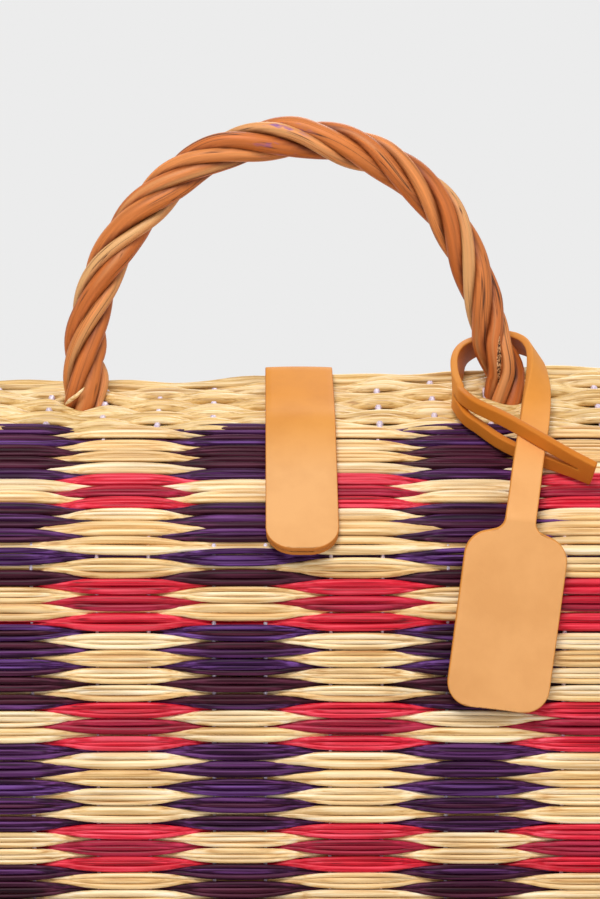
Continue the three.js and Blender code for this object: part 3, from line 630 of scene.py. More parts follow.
def finishStrands(curve, body, replaced=()):
    holder = bpy.data.objects.new(curve.name, curve)
    scene.collection.objects.link(holder)
    graph = bpy.context.evaluated_depsgraph_get()
    mesh = bpy.data.meshes.new_from_object(holder.evaluated_get(graph))
    name = curve.name
    bpy.data.objects.remove(holder)
    bpy.data.curves.remove(curve)
    mesh.name = name
    piece = bpy.data.objects.new(name, mesh)
    scene.collection.objects.link(piece)
    if body:
        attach(piece, body)
    if replaced:
        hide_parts(*replaced)
    if not body:
        start = onBag(0, beforeHinge, 0)
        end = onBag(0, afterHinge, 0)
        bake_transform(piece)
    return piece


# Weave. Every row is a bundle of two or three reeds that floats over one pair of
# warps and dives under the next, so the mat is two reeds thick. A bundle's reeds lie side
# by side in the middle of a float and close up towards its ends. The first rows' steps were
# rounded by hand from the heights of rows picked on the photo, which a script turned into mm.
weave = {
    "columnSpacing": 48.1, "centre": 0.9, "warpPair": 10.6, "start": 50.3, "step": 7.2, "lidMargin": 3,
    "face": 3.05, "opening": 2.9, "sink": 1.0, "dive": 0.66, "fullHalf": 0.3, "tuck": 0.6,
    "pinch": 0.32, "stack": 0.35, "squeeze": 0.18, "slack": 1.03, "uneven": 0.24, "drop": 0.1,
    "drift": 0.32, "driftLength": 70, "wander": 0.14, "wanderLength": 23, "tremble": 0.1, "trembleLength": 17,
    "swell": 0.05, "swellLength": 9,
    "tripleShare": 0.5, "play": 0.35, "firstShift": -1.2,
    "oddRun": ["cream"] * 4 + ["red"] * 3, "evenRun": ["purple"] * 5 + ["cream"] * 2,
    "steps": [6.6] * 8 + [8.0, 8.6, 8.6, 7.0, 7.0, 8.6] + [7.3] * 4 + [7.0] * 3 + [7.6] * 4 + [6.9] * 3,
    "thin": {
        (0, 10): 1.6, (0, 11): 1.5, (1, 10): 1.1, (0, 14): 0.8, (1, 14): 0.9, (0, 18): 0.7, (1, 21): 0.6,
        (0, 25): 0.7,
    },
}
# The natural band along the crest is in plain weave, over one warp and under the next
plain = {
    "first": 46.9, "step": 7.3, "rows": 6, "reeds": 3, "warpSpacing": 24.05, "lens": 10.6, "cordLift": 1.1,
    "underTab": 2.95, "tabReach": 21,
}
doubleForm = dict(weave, halfWave=weave["columnSpacing"])
plainForm = dict(
    weave, halfWave=plain["warpSpacing"], fullHalf=0.0, drift=0.5, face=3.4, rise=0.9, sink=1.1, dive=0.85,
    pinch=0.45, stack=0.65,
)
# Reeds part where the handle's legs come through the mat
parting = {"reach": 16, "gap": 0.7, "taper": 1.5, "spring": 2.6, "least": 0.05}


def distanceAtY(y):
    for before, after in zip(outline, outline[1:]):
        if after[1].x <= y:
            share = (y - before[1].x) / (after[1].x - before[1].x)
            return before[0] + share * (after[0] - before[0])
    return 0.0


legAt = distanceAtY(basket["legY"])


def partAround(x, distance, rowAt):
    for side in (-1, 1):
        aside = (x - side * basket["legX"]) / parting["reach"]
        reach = (basket["legRadius"] + parting["gap"]) * max(0.0, 1 - aside ** 2) ** parting["taper"]
        if reach > parting["least"]:
            away = abs(distance - legAt)
            bowed = (away ** parting["spring"] + reach ** parting["spring"]) ** (1 / parting["spring"])
            distance = legAt + math.copysign(bowed, rowAt - legAt)
    return distance


def matPlace(x, distance, height, rowAt):
    if rowAt < shoulderAt:
        distance = partAround(x, distance, rowAt)
    return onBag(x, distance, height)


def floatShape(form, phase):
    # How far a bundle stands out, negative where it dives, and how far its reeds spread
    share = min(1.0, abs(phase) / (1 - form["fullHalf"]))
    dive = -form["dive"] * share ** form["sink"]
    if form is plainForm:
        return (share ** form["rise"] if phase > 0 else dive), (1 + phase) / 2
    if phase > 0:
        rise = 1 - (math.acos(phase) / (math.pi / 2)) ** form["opening"]
        return rise, rise
    return dive, smooth((share - form["tuck"]) / (1 - form["tuck"]))


def faceAt(form, x):
    # The tab presses the band under it a little flatter
    if form is not plainForm:
        return form["face"]
    pressed = smooth(2 - abs(x - basket["tabX"]) / plain["tabReach"])
    return form["face"] + (plain["underTab"] - form["face"]) * pressed


def newSeed():
    return dice.uniform(0, 99)


def bundle(curve, place, along, row):
    # Lays one row's reeds. along is where its points stand, row says what it is
    form = row["form"]
    widths = [dice.uniform(1 - form["uneven"], 1 + form["uneven"]) for _ in range(row["reeds"])]
    widths = [row["lens"] * width / sum(widths) for width in widths]
    for j, width in enumerate(widths):
        own = width / 2 * form["slack"]
        middle = sum(widths[:j]) + width / 2 - row["lens"] / 2
        drop = dice.uniform(0.0, form["drop"])
        seed = dice.uniform(0, 900)
        side = 1 if (j + row["flip"]) % 2 else -1
        points, radii = [], []
        for x in along:
            rise, opened = floatShape(form, math.cos(math.pi * (x - row["centre"]) / form["halfWave"]))
            offset = middle * (form["pinch"] + (1 - form["pinch"]) * opened)
            drift = sway(form, "drift", x, row["seed"]) + sway(form, "wander", x, seed)
            height = (faceAt(form, x) - own - drop) * rise + side * form["stack"] * (1 - opened)
            height += sway(form, "tremble", x, seed + 5)
            points.append(place(x, row["at"] + offset + drift, height, row["at"]))
            swell = 1 + sway(form, "swell", x, seed + 9)
            radii.append(own * (1 - form["squeeze"] * (1 - opened)) * swell)
        layStrand(curve, points, radii, dice.choice(row["tones"]))


def rowTones(run, pair, colour):
    # The middle row of three red ones is the darker
    drawn = dice.sample(toneAt[colour], 2)
    if colour != "red":
        return drawn
    inMiddle = run[pair % len(run)] == run[(pair - 2) % len(run)] == "red"
    return toneAt["red"][2:] if inMiddle else toneAt["red"][:2]


def rowsOfMat():
    # Every coloured row of the mat from the shoulder round to the lid's natural band
    rows = []
    at = weave["start"]
    pair = 1
    while at < wholeLength - weave["start"] + weave["lidMargin"]:
        width = weave["steps"][pair - 1] if pair <= len(weave["steps"]) else weave["step"]
        for odd in (0, 1):
            run = weave["oddRun"] if odd else weave["evenRun"]
            reeds = 3 if dice.random() < weave["tripleShare"] else 2
            tones = rowTones(run, pair, run[(pair - 1) % len(run)])
            play = dice.uniform(0.0, weave["play"])
            rows.append({
                "at": at + odd * (width / 2 + (weave["firstShift"] if pair == 1 else 0)), "tones": tones,
                "reeds": reeds, "lens": width - weave["thin"].get((odd, pair), play),
                "flip": dice.randrange(2), "seed": newSeed(), "form": doubleForm,
                "centre": weave["centre"] + weave["columnSpacing"] * (odd - 0.5),
            })
        at += width
        pair += 1
    return rows


def naturalRows(fromCrest):
    rows = []
    for i in range(plain["rows"]):
        at = plain["first"] - i * plain["step"]
        rows.append({
            "at": at if fromCrest else wholeLength - at, "tones": dice.sample(toneAt["natural"], 2),
            "reeds": plain["reeds"], "lens": plain["lens"], "flip": dice.randrange(2),
            "seed": newSeed(), "form": plainForm,
            "centre": weave["centre"] + plain["warpSpacing"] * (i % 2 + 0.5),
        })
    return rows


matRows = naturalRows(True) + rowsOfMat() + naturalRows(False)
bandEnd, slopeEnd, frontEnd = weave["start"] - 2, foldAt + 42, frontFootAt - 8
weavePieces = {
    "weaveBand": {"from": 0, "to": bandEnd, "body": "body", "sides": 8, "step": 3.4},
    "weaveSlope": {"from": bandEnd, "to": slopeEnd, "body": "body", "sides": 8, "step": 3.7},
    "weaveFront": {"from": slopeEnd, "to": frontEnd, "body": "body", "sides": 8, "step": 3.7},
    "weaveBase": {"from": frontEnd, "to": backFootAt, "body": "body", "sides": 6, "step": 6},
    "weaveBack": {"from": backFootAt, "to": beforeHinge, "body": "body", "sides": 6, "step": 4.2},
    "weaveHinge": {"from": beforeHinge, "to": afterHinge, "body": "", "sides": 6, "step": 4.2},
    "weaveLid": {"from": afterHinge, "to": wholeLength, "body": "lid", "sides": 6, "step": 4.2},
}
weaveReplaces = {"weaveFront": ["main_mat"], "weaveLid": ["lid_mat"]}


def weaveMats():
    for name, part in weavePieces.items():
        along = stations(-basket["halfWidth"], basket["halfWidth"], part["step"])
        curve = startStrands(name, part["sides"], reedsAcross)
        for row in matRows:
            if part["from"] <= row["at"] < part["to"]:
                bundle(curve, matPlace, along, row)
        piece = finishStrands(curve, part["body"], weaveReplaces.get(name, []))
        print("wove", name, len(piece.data.polygons), "faces")


weaveMats()

# Warps: pale cords in the middle of the mat, seen only where rows part. In the band they
# are thicker and go over one row and under the next
warps = {
    "radius": 0.8, "bead": 0.24, "beadStep": 3.6, "shake": 0.27, "step": 1.8, "sides": 6, "crestGap": 9,
    "bandEdge": 44, "bandBlend": 14, "bandExtra": 0.65, "each": range(-8, 8),
}


def warpPlaces():
    # Where each cord stands in the band, and where in the coloured weave
    places = []
    for m in warps["each"]:
        even = weave["centre"] + plain["warpSpacing"] * (m + 0.5)
        column = weave["centre"] + weave["columnSpacing"] * (m // 2 + 0.5)
        places.append((even, column + weave["warpPair"] * (1 if m % 2 else -1)))
    return places


def warpPoint(number, even, paired, distance):
    fromCrest = min(distance, wholeLength - distance)
    inBand = 1 - smooth((fromCrest - warps["bandEdge"]) / warps["bandBlend"])
    x = even + (paired - even) * (1 - inBand)
    beat = math.cos(2 * math.pi * distance / warps["beadStep"] + number)
    row = (plain["first"] - fromCrest) / plain["step"]
    over = -plain["cordLift"] * math.cos(math.pi * (row - number % 2)) * inBand
    radius = warps["radius"] + warps["bandExtra"] * inBand + warps["bead"] * beat
    return onBag(x, distance, over + warps["shake"] * beat), radius


def layWarps():
    parts = {
        "warpsBody": ("body", warps["crestGap"], beforeHinge),
        "warpsHinge": ("", beforeHinge, afterHinge),
        "warpsLid": ("lid", afterHinge, wholeLength - warps["crestGap"]),
    }
    for name, (body, low, high) in parts.items():
        curve = startStrands(name, warps["sides"], [warpCord])
        for number, (even, paired) in enumerate(warpPlaces()):
            places = [warpPoint(number, even, paired, at) for at in stations(low, high, warps["step"])]
            layStrand(curve, *(list(part) for part in zip(*places)))
        finishStrands(curve, body)
    print("warps laid")


layWarps()

# Rims: at each side of the crest a bundle of natural reeds that wander round each other
rims = {
    "rimWeave": {"y": 4.35, "node": "rim_binding", "body": "body", "drop": 2.9},
    "lidRimWeave": {"y": 11.65, "node": "lid_rim_binding", "body": "lid", "drop": 3.625},
}
rimBundle = {
    "reeds": 5, "start": 0.3, "ring": 2.0, "tight": 0.86, "swell": 0.3, "swing": 0.35, "swingLength": 60,
    "radius": 1.45, "uneven": 0.06, "unevenLength": 12, "step": 5, "sides": 8,
    "wave": 0.7, "waveFrom": -20, "waveLength": 96,
}


def rimPoint(rim, x, out, up):
    # The crest's own wave lifts both rims together
    y = rim["y"]
    slope = (shoulderZ - crestZ) / (shoulderY - crestY) if y < crestY else -1.0
    wave = rimBundle["wave"] * math.sin(2 * math.pi * (x - rimBundle["waveFrom"]) / rimBundle["waveLength"])
    z = crestZ + (y - crestY) * slope - rim["drop"] + wave
    return Vector((x, y + out, z + up + riseAt(x, y))) * mm


def bindRims():
    for name, rim in rims.items():
        curve = startStrands(name, rimBundle["sides"], reedsAcross)
        for j in range(rimBundle["reeds"]):
            seed = newSeed()
            turn = 2 * math.pi * j / rimBundle["reeds"] + rimBundle["start"]
            points, radii = [], []
            for x in stations(-basket["halfWidth"], basket["halfWidth"], rimBundle["step"]):
                phase = math.cos(math.pi * ((x - weave["centre"]) / plain["warpSpacing"] + j % 2))
                ring = rimBundle["ring"] * (rimBundle["tight"] + rimBundle["swell"] * phase)
                angle = turn + sway(rimBundle, "swing", x, seed)
                points.append(rimPoint(rim, x, ring * math.cos(angle), ring * math.sin(angle)))
                radii.append(rimBundle["radius"] * (1 + sway(rimBundle, "uneven", x, seed)))
            layStrand(curve, points, radii, toneAt["natural"][j % 3])
        finishStrands(curve, rim["body"], [rim["node"]])
    print("rims bound")


bindRims()

# Side panels: woven the same way, front to back, inside the mat's edges
panel = {
    "middleX": 178, "inset": 7.6, "top": 229.5, "foot": 9.5, "spacing": 43.4, "sides": 6, "pointStep": 5.2,
    "bow": 2.2, "bowLow": 20, "bowHigh": 200, "bowSpan": 200, "shortest": 14, "gap": 0.2, "runShift": 5,
    "columns": (-2, -1, 0, 1), "warpPair": 9.5, "cordTop": 236, "cordStep": 2.4, "beat": 1.7,
}
panelForm = dict(doubleForm, halfWave=panel["spacing"])
panelLine, _ = traceOutline(panel["inset"])


def panelSpan(z):
    # How far the panel reaches front and back at a height
    found = []
    for before, after in zip(panelLine, panelLine[1:]):
        low, high = sorted((before[1].y, after[1].y))
        if low <= z <= high and high > low:
            share = (z - before[1].y) / (after[1].y - before[1].y)
            found.append(before[1].x + share * (after[1].x - before[1].x))
    return (min(found), max(found)) if found else (0, 0)


def panelPlacer(sign):
    def place(y, z, height, rowAt):
        bow = panel["bow"] * between(z, panel["bowLow"], panel["bowHigh"])
        bow *= math.cos(math.pi * y / panel["bowSpan"])
        return Vector((sign * (panel["middleX"] + height - bow), y, z)) * mm

    return place


def weavePanel(curve, place):
    pair = 0
    z = panel["top"]
    while z > panel["foot"]:
        for odd in (0, 1):
            at = z - odd * weave["step"] / 2
            front, back = panelSpan(at)
            if at < panel["foot"] or back - front < panel["shortest"]:
                continue
            run = weave["oddRun"] if odd else weave["evenRun"]
            row = {
                "at": at, "tones": toneAtDeep[run[(pair + panel["runShift"]) % len(run)]],
                "reeds": 3 if dice.random() < weave["tripleShare"] else 2,
                "lens": weave["step"] - panel["gap"],
                "flip": dice.randrange(2), "seed": newSeed(), "form": panelForm,
                "centre": panel["spacing"] * (0.5 + odd),
            }
            bundle(curve, place, stations(front, back, panel["pointStep"]), row)
        z -= weave["step"]
        pair += 1


def cordPanel(curve, place):
    for column in panel["columns"]:
        for shift in (-panel["warpPair"], panel["warpPair"]):
            y = panel["spacing"] * (column + 0.5) + shift
            heights = []
            for z in stations(panel["foot"], panel["cordTop"], panel["cordStep"]):
                front, back = panelSpan(z)
                if front < y < back:
                    heights.append(z)
            if len(heights) > 2:
                radii = [warps["radius"] + warps["bead"] * math.cos(z * panel["beat"]) for z in heights]
                layStrand(curve, [place(y, z, 0.0, z) for z in heights], radii)


def weavePanels():
    for side, sign in (("Left", -1), ("Right", 1)):
        curve = startStrands("panel" + side, panel["sides"], reedsDeep)
        cords = startStrands("panelWarps" + side, warps["sides"], [warpCord])
        place = panelPlacer(sign)
        weavePanel(curve, place)
        finishStrands(curve, "body", ["side_panel_" + side.lower()])
        cordPanel(cords, place)
        finishStrands(cords, "body")
    print("side panels woven")


weavePanels()

# Edge bindings: a split reed wound over each side edge of the mats
binding = {
    "x": 186.5, "halfWidth": 1.798, "halfHeight": 2.9925, "radius": 1.05, "uneven": 0.08, "unevenLength": 5,
    "seed": 3.3, "pitch": 3.9, "perTurn": 8, "coreX": 186.4, "coreRadius": 1.7, "coreStep": 5, "sides": 6,
    "crestGap": 9,
}


def windEdge(name, body, sign, low, high, replaced):
    curve = startStrands(name, binding["sides"], reedsAcross)
    count = int((high - low) / binding["pitch"] * binding["perTurn"])
    points, radii = [], []
    for k in range(count + 1):
        angle = 2 * math.pi * k / binding["perTurn"]
        x = sign * (binding["x"] + binding["halfWidth"] * math.cos(angle))
        points.append(onBag(x, low + (high - low) * k / count, binding["halfHeight"] * math.sin(angle)))
        radii.append(binding["radius"] * (1 + sway(binding, "uneven", k, sign * binding["seed"])))
    layStrand(curve, points, radii, toneAt["cream"][1])
    core = [onBag(sign * binding["coreX"], at, 0) for at in stations(low, high, binding["coreStep"])]
    layStrand(curve, core, [binding["coreRadius"]] * len(core), toneAt["cream"][3])
    finishStrands(curve, body, replaced)


def windEdges():
    lidEnd = wholeLength - binding["crestGap"]
    for side, sign in (("Left", -1), ("Right", 1)):
        node = side.lower()
        windEdge("edge" + side, "body", sign, binding["crestGap"], beforeHinge, ["edge_binding_" + node])
        windEdge("edgeHinge" + side, "", sign, beforeHinge, afterHinge, [])
        windEdge("lidEdge" + side, "lid", sign, afterHinge, lidEnd, ["lid_edge_binding_" + node])
    print("edges wound")


windEdges()

# Handle: five willow rods twisted round a core. Their line goes up from under the mat,
# over an arch that leans in on the right, and down again
handle = {
    "y": -12.35, "base": 241, "rise": 104.5, "foot": 39, "archSteps": 400, "stations": 190,
    "lean": 5.2, "leanFrom": 0.17, "leanTo": 0.75,
    "radii": [4.2, 2.9, 3.9, 3.2, 3.6], "outer": 8.8, "sides": 16, "pitch": 96, "front": 196,
    "shift": 1.1, "shiftLength": 34, "swing": 0.2, "swingLength": 45, "uneven": 0.15, "unevenLength": 27,
    "knots": 3, "knotSpan": (0.08, 0.92), "knotSize": (0.05, 0.1), "knotLength": 4.5,
    "splay": 7, "splayZ": 240, "splayReach": 30, "grooveFrom": 7.9, "grooveTo": 6.5,
    "firstSeed": 2.1, "seedStep": 7.3,
    "paleShare": [0.44, 0.66, 0.4, 0.5, 0.44],
    "splinterRod": 1, "splinterRadii": [0.4, 0.95, 0.9, 0.5, 0.1],
    "splinter": [
        (-100.2, -19.8, 229.4), (-98.2, -21.3, 231.2), (-95.2, -22.6, 233.4), (-92.6, -22.9, 236),
        (-91.6, -22.6, 237.2),
    ],
}


def handleLine():
    # Points and tangents along the middle of the handle, evenly spaced
    rough = []
    for i in range(handle["archSteps"] + 1):
        angle = math.pi * i / handle["archSteps"]
        x = -basket["legX"] * math.cos(angle)
        up = math.sin(angle)
        if x > 0:
            x -= handle["lean"] * smooth(up / handle["leanFrom"]) * smooth((1 - up) / handle["leanTo"])
        rough.append(Vector((x, handle["y"], handle["base"] + handle["rise"] * up)))
    foot = Vector((0, 0, handle["foot"]))
    rough = [rough[0] - foot] + rough + [rough[-1] - foot]
    lengths = [0.0]
    for before, after in zip(rough, rough[1:]):
        lengths.append(lengths[-1] + (after - before).length)
    line = []
    for k in range(handle["stations"] + 1):
        want = lengths[-1] * k / handle["stations"]
        i = min(max(bisect.bisect_right(lengths, want), 1), len(rough) - 1)
        share = (want - lengths[i - 1]) / (lengths[i] - lengths[i - 1])
        line.append((want, rough[i - 1].lerp(rough[i], share), (rough[i] - rough[i - 1]).normalized()))
    return line


def markGrooves(piece, line):
    # Vertices near the middle of the handle lie deep between two rods and get painted shade
    middle = kdtree.KDTree(len(line))
    for i, (_, point, _) in enumerate(line):
        middle.insert(point * mm, i)
    middle.balance()
    grooveShade = piece.data.attributes.new("grooveShade", "FLOAT", "POINT")
    span = handle["grooveFrom"] - handle["grooveTo"]
    for vertex, value in zip(piece.data.vertices, grooveShade.data):
        away = middle.find(vertex.co)[2] / mm
        value.value = smooth((handle["grooveFrom"] - away) / span)


def rodStarts():
    # Where each rod starts round the core, as a share of a turn, so that neighbours touch
    radii = handle["radii"]
    starts = [0.0]
    for radius, following in zip(radii, radii[1:]):
        starts.append(starts[-1] + (radius + following) / (2 * sum(radii)))
    return [0.5 + start - starts[1] for start in starts]


def rodPlace(station, radius, start, seed):
    at, point, tangent = station
    out = Vector((0, 1, 0))
    turns = start + (at - handle["front"]) / handle["pitch"]
    angle = 2 * math.pi * turns + sway(handle, "swing", at, seed)
    ring = handle["outer"] - radius + sway(handle, "shift", at, seed + 4)
    place = point + out * ring * math.cos(angle) + tangent.cross(out) * ring * math.sin(angle)
    if point.x < 0 and place.y > handle["y"]:
        # At the left foot the rods behind stand apart
        near = smooth(1 - abs(point.z - handle["splayZ"]) / handle["splayReach"])
        behind = (place.y - handle["y"]) / ring
        place.x += handle["splay"] * near * behind * max(0.0, (place.x - point.x) / ring)
    return place * mm


def rodRadius(at, radius, knots, seed):
    thick = 1 + sway(handle, "uneven", at, seed + 8)
    for place, size in knots:
        thick += size * math.exp(-(((at - place) / handle["knotLength"]) ** 2))
    return radius * thick


def twistHandle():
    line = handleLine()
    whole = line[-1][0]
    for j, (radius, start) in enumerate(zip(handle["radii"], rodStarts())):
        seed = handle["seedStep"] * j + handle["firstSeed"]
        knots = []
        for _ in range(handle["knots"]):
            place = dice.uniform(*handle["knotSpan"]) * whole
            knots.append((place, dice.uniform(*handle["knotSize"])))
        bark = willowMaterial(f"willowRod{j + 1}", handle["paleShare"][j], j)
        curve = startStrands(f"rod{j + 1}", handle["sides"], [bark, reedsAcross[0]])
        points = [rodPlace(station, radius, start, seed) for station in line]
        layStrand(curve, points, [rodRadius(at, radius, knots, seed) for at, _, _ in line])
        if j == handle["splinterRod"]:
            splinter = [Vector(place) * mm for place in handle["splinter"]]
            layStrand(curve, splinter, handle["splinterRadii"], 1)
        piece = finishStrands(curve, "body", [f"handle_rod_{j + 1}"])
        markGrooves(piece, line)
    print("handle twisted")


twistHandle()

# Whippings: cord wound round the handle's feet under the mat
whipping = {"turns": 5, "perTurn": 20, "cord": 2.6, "radius": 1.28, "ring": 11.2, "top": 223.74, "sides": 8}


def whipFeet():
    for side, sign in (("left", -1), ("right", 1)):
        curve = startStrands("whipping" + side.capitalize(), whipping["sides"], [warpCord])
        points = []
        for k in range(whipping["turns"] * whipping["perTurn"] + 1):
            turn = k / whipping["perTurn"]
            angle = 2 * math.pi * turn
            points.append(Vector((
                sign * basket["legX"] + whipping["ring"] * math.cos(angle),
                handle["y"] + whipping["ring"] * math.sin(angle), whipping["top"] - whipping["cord"] * turn,
            )) * mm)
        layStrand(curve, points, [whipping["radius"]] * len(points))
        finishStrands(curve, "body", ["handle_whipping_" + side])
    print("feet whipped")


whipFeet()

# Leather: a flat pattern is cut as a grid, given its thickness and soft edges, then bent
cut = {
    # The strap's limbs are darkened as painted shade, at a strength, from a little before the slit
    "sharp": 1.0, "skin": 0.05, "flat": 0.9, "nearEdge": 0.4, "limbShade": 0.92, "limbShadeBefore": 6,
    "limbShadeReach": 14, "cornerSteps": 9,
}


def cutLeather(name, material, rows, columns, thickness, bend, soft=0.45, slit=None):
    # rows is a list of (distance along, half width). bend places (across, along, height)
    shape = bmesh.new()
    bmesh.ops.create_grid(shape, x_segments=columns, y_segments=len(rows) - 1, size=0.5)
    levels = sorted({round(vert.co.y, 5) for vert in shape.verts})
    for vert in shape.verts:
        along, half = rows[levels.index(round(vert.co.y, 5))]
        vert.co = Vector((2 * vert.co.x * half, along, thickness / 2))
    if slit:
        openSlit(shape, slit)
    bmesh.ops.recalc_face_normals(shape, faces=shape.faces[:])
    if shape.faces[:][0].normal.z < 0:
        bmesh.ops.reverse_faces(shape, faces=shape.faces[:])
    bmesh.ops.solidify(shape, geom=shape.faces[:], thickness=thickness)
    low = min(vert.co.z for vert in shape.verts)
    for vert in shape.verts:
        vert.co.z -= low + thickness / 2
    bmesh.ops.recalc_face_normals(shape, faces=shape.faces[:])
    cutEdges = [edge for edge in shape.edges if edge.calc_face_angle(0) > cut["sharp"]]
    bmesh.ops.bevel(
        shape, geom=cutEdges, offset=soft, offset_type="OFFSET", affect="EDGES", segments=2, profile=0.5,
        material=-1,
    )
    markLeather(shape, thickness, slit)
    for vert in shape.verts:
        vert.co = bend(vert.co.x, vert.co.y, vert.co.z) * mm
    bmesh.ops.recalc_face_normals(shape, faces=shape.faces[:])
    mesh = bpy.data.meshes.new(name)
    for face in shape.faces:
        face.smooth = True
    shape.to_mesh(mesh)
    shape.free()
    mesh.materials.append(material)
    piece = bpy.data.objects.new(name, mesh)
    scene.collection.objects.link(piece)
    return piece


def markLeather(shape, thickness, slit):
    # Writes the attributes that leatherMaterial reads
    skin = thickness / 2 - cut["skin"]
    edge = shape.verts.layers.float.new("edge")
    flesh = shape.verts.layers.float.new("flesh")
    limbShade = shape.verts.layers.float.new("limbShade")
    for vert in shape.verts:
        # Painted shade: from a little before the slit the strap is marked to turn darker
        if slit:
            limbShadeFrom = slit[0] - cut["limbShadeBefore"]
            vert[limbShade] = cut["limbShade"] * smooth((vert.co.y - limbShadeFrom) / cut["limbShadeReach"])
        flatness = max(abs(face.normal.z) for face in vert.link_faces)
        onCut = abs(vert.co.z) < skin
        vert[edge] = 1.0 if onCut else (0.0 if flatness > cut["flat"] else cut["nearEdge"])
        vert[flesh] = 1.0 if vert.co.z < -skin else 0.0


def openSlit(shape, slit):
    # Cuts the pattern along its middle, from one row to another, and parts the two sides
    low, high, width = slit
    near = 1e-4

    def onSlit(vert):
        return abs(vert.co.x) < near and low - near < vert.co.y < high + near

    along = [edge for edge in shape.edges if all(onSlit(vert) for vert in edge.verts)]
    bmesh.ops.split_edges(shape, edges=along)
    for vert in [vert for vert in shape.verts if onSlit(vert) and low + near < vert.co.y < high - near]:
        side = sum(face.calc_center_median().x for face in vert.link_faces)
        vert.co.x = math.copysign(width / 2, side)


def cornerRows(corner, half):
    # Rows of a first end with rounded corners
    steps = cut["cornerSteps"]
    angles = [math.pi / 2 * k / steps for k in range(steps + 1)]
    return [(corner * (1 - math.cos(angle)), half - corner * (1 - math.sin(angle))) for angle in angles]


# Tab: one strap of two layers, from past the fold over the crest to its riveted root
tab = {
    "half": 15, "corner": 12, "overhang": 6, "outer": 3.5, "lining": 1.2, "root": 1.4, "rootFrom": 14,
    "rootReach": 15, "outerThickness": 2.2, "liningThickness": 1.8, "liningInset": 0.15,
    "crown": (0.35, -0.2), "liningCrown": (0.2, -0.1),
    "shoulderRadius": 30, "crestRadius": 8, "arcSteps": 12, "bend": 16,
    "rootLength": 20, "bareLength": 22, "rowStep": 2.2, "columns": 10, "bendReach": 4, "probe": 2,
}


def tabTrack():
    # The outer surface of the mat under the strap: fold, shoulder, crest, lid
    corners = [Vector(corner) for corner in basket["corners"]]
    crest, shoulder, fold, backFold = corners[0], corners[1], corners[2], corners[5]
    upSlope = (shoulder - fold).normalized()
    upBand = (crest - shoulder).normalized()
    downLid = (backFold - crest).normalized()
    places = [(fold - upSlope * tab["overhang"], leftOf(upSlope))]
    places += arcRound(shoulder, upSlope, upBand, tab["shoulderRadius"], 1, tab["arcSteps"])
    places += arcRound(crest, upBand, downLid, tab["crestRadius"], 1, tab["arcSteps"])
    places.append((crest + downLid * (tab["bend"] + tab["rootLength"]), leftOf(downLid)))
    return measure(places)


def strapRows(length, half):
    rows = cornerRows(tab["corner"], half)
    return rows + [(along, half) for along in stations(tab["corner"], length, tab["rowStep"])[1:]]


def makeTab():
    track = tabTrack()
    length = track[-1][0]
    bendAt = length - tab["rootLength"]

    def layOn(across, along, height, crown):
        middle, edge = crown
        point = onLine(track, along, height + middle * (1 - (across / tab["half"]) ** 2) + edge)
        return Vector((basket["tabX"] + across, point.x, point.y))

    def outerBend(across, along, height):
        share = smooth((along - bendAt + tab["rootFrom"]) / tab["rootReach"])
        level = tab["outer"] + (tab["root"] - tab["outer"]) * share
        return layOn(across, along, level + height, tab["crown"])

    def liningBend(across, along, height):
        return layOn(across, along, tab["lining"] + height, tab["liningCrown"])

    outerRows = strapRows(length, tab["half"])
    strap = cutLeather(
        "tabStrap", tabLeather, outerRows, tab["columns"], tab["outerThickness"], outerBend,
    )
    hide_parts("tab_leather", "tab_root")
    hinge = onLine(track, bendAt, 0)
    tangent = (onLine(track, bendAt + tab["probe"], 0) - onLine(track, bendAt - tab["probe"], 0)).normalized()
    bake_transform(strap)
    liningRows = strapRows(bendAt - tab["bareLength"], tab["half"] - tab["liningInset"])
    lining = cutLeather(
        "tabLining", tabLeather, liningRows, tab["columns"], tab["liningThickness"], liningBend,
    )
    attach(lining, "tab")
    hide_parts("tab_lining")
    print("tab cut and bent")


makeTab()

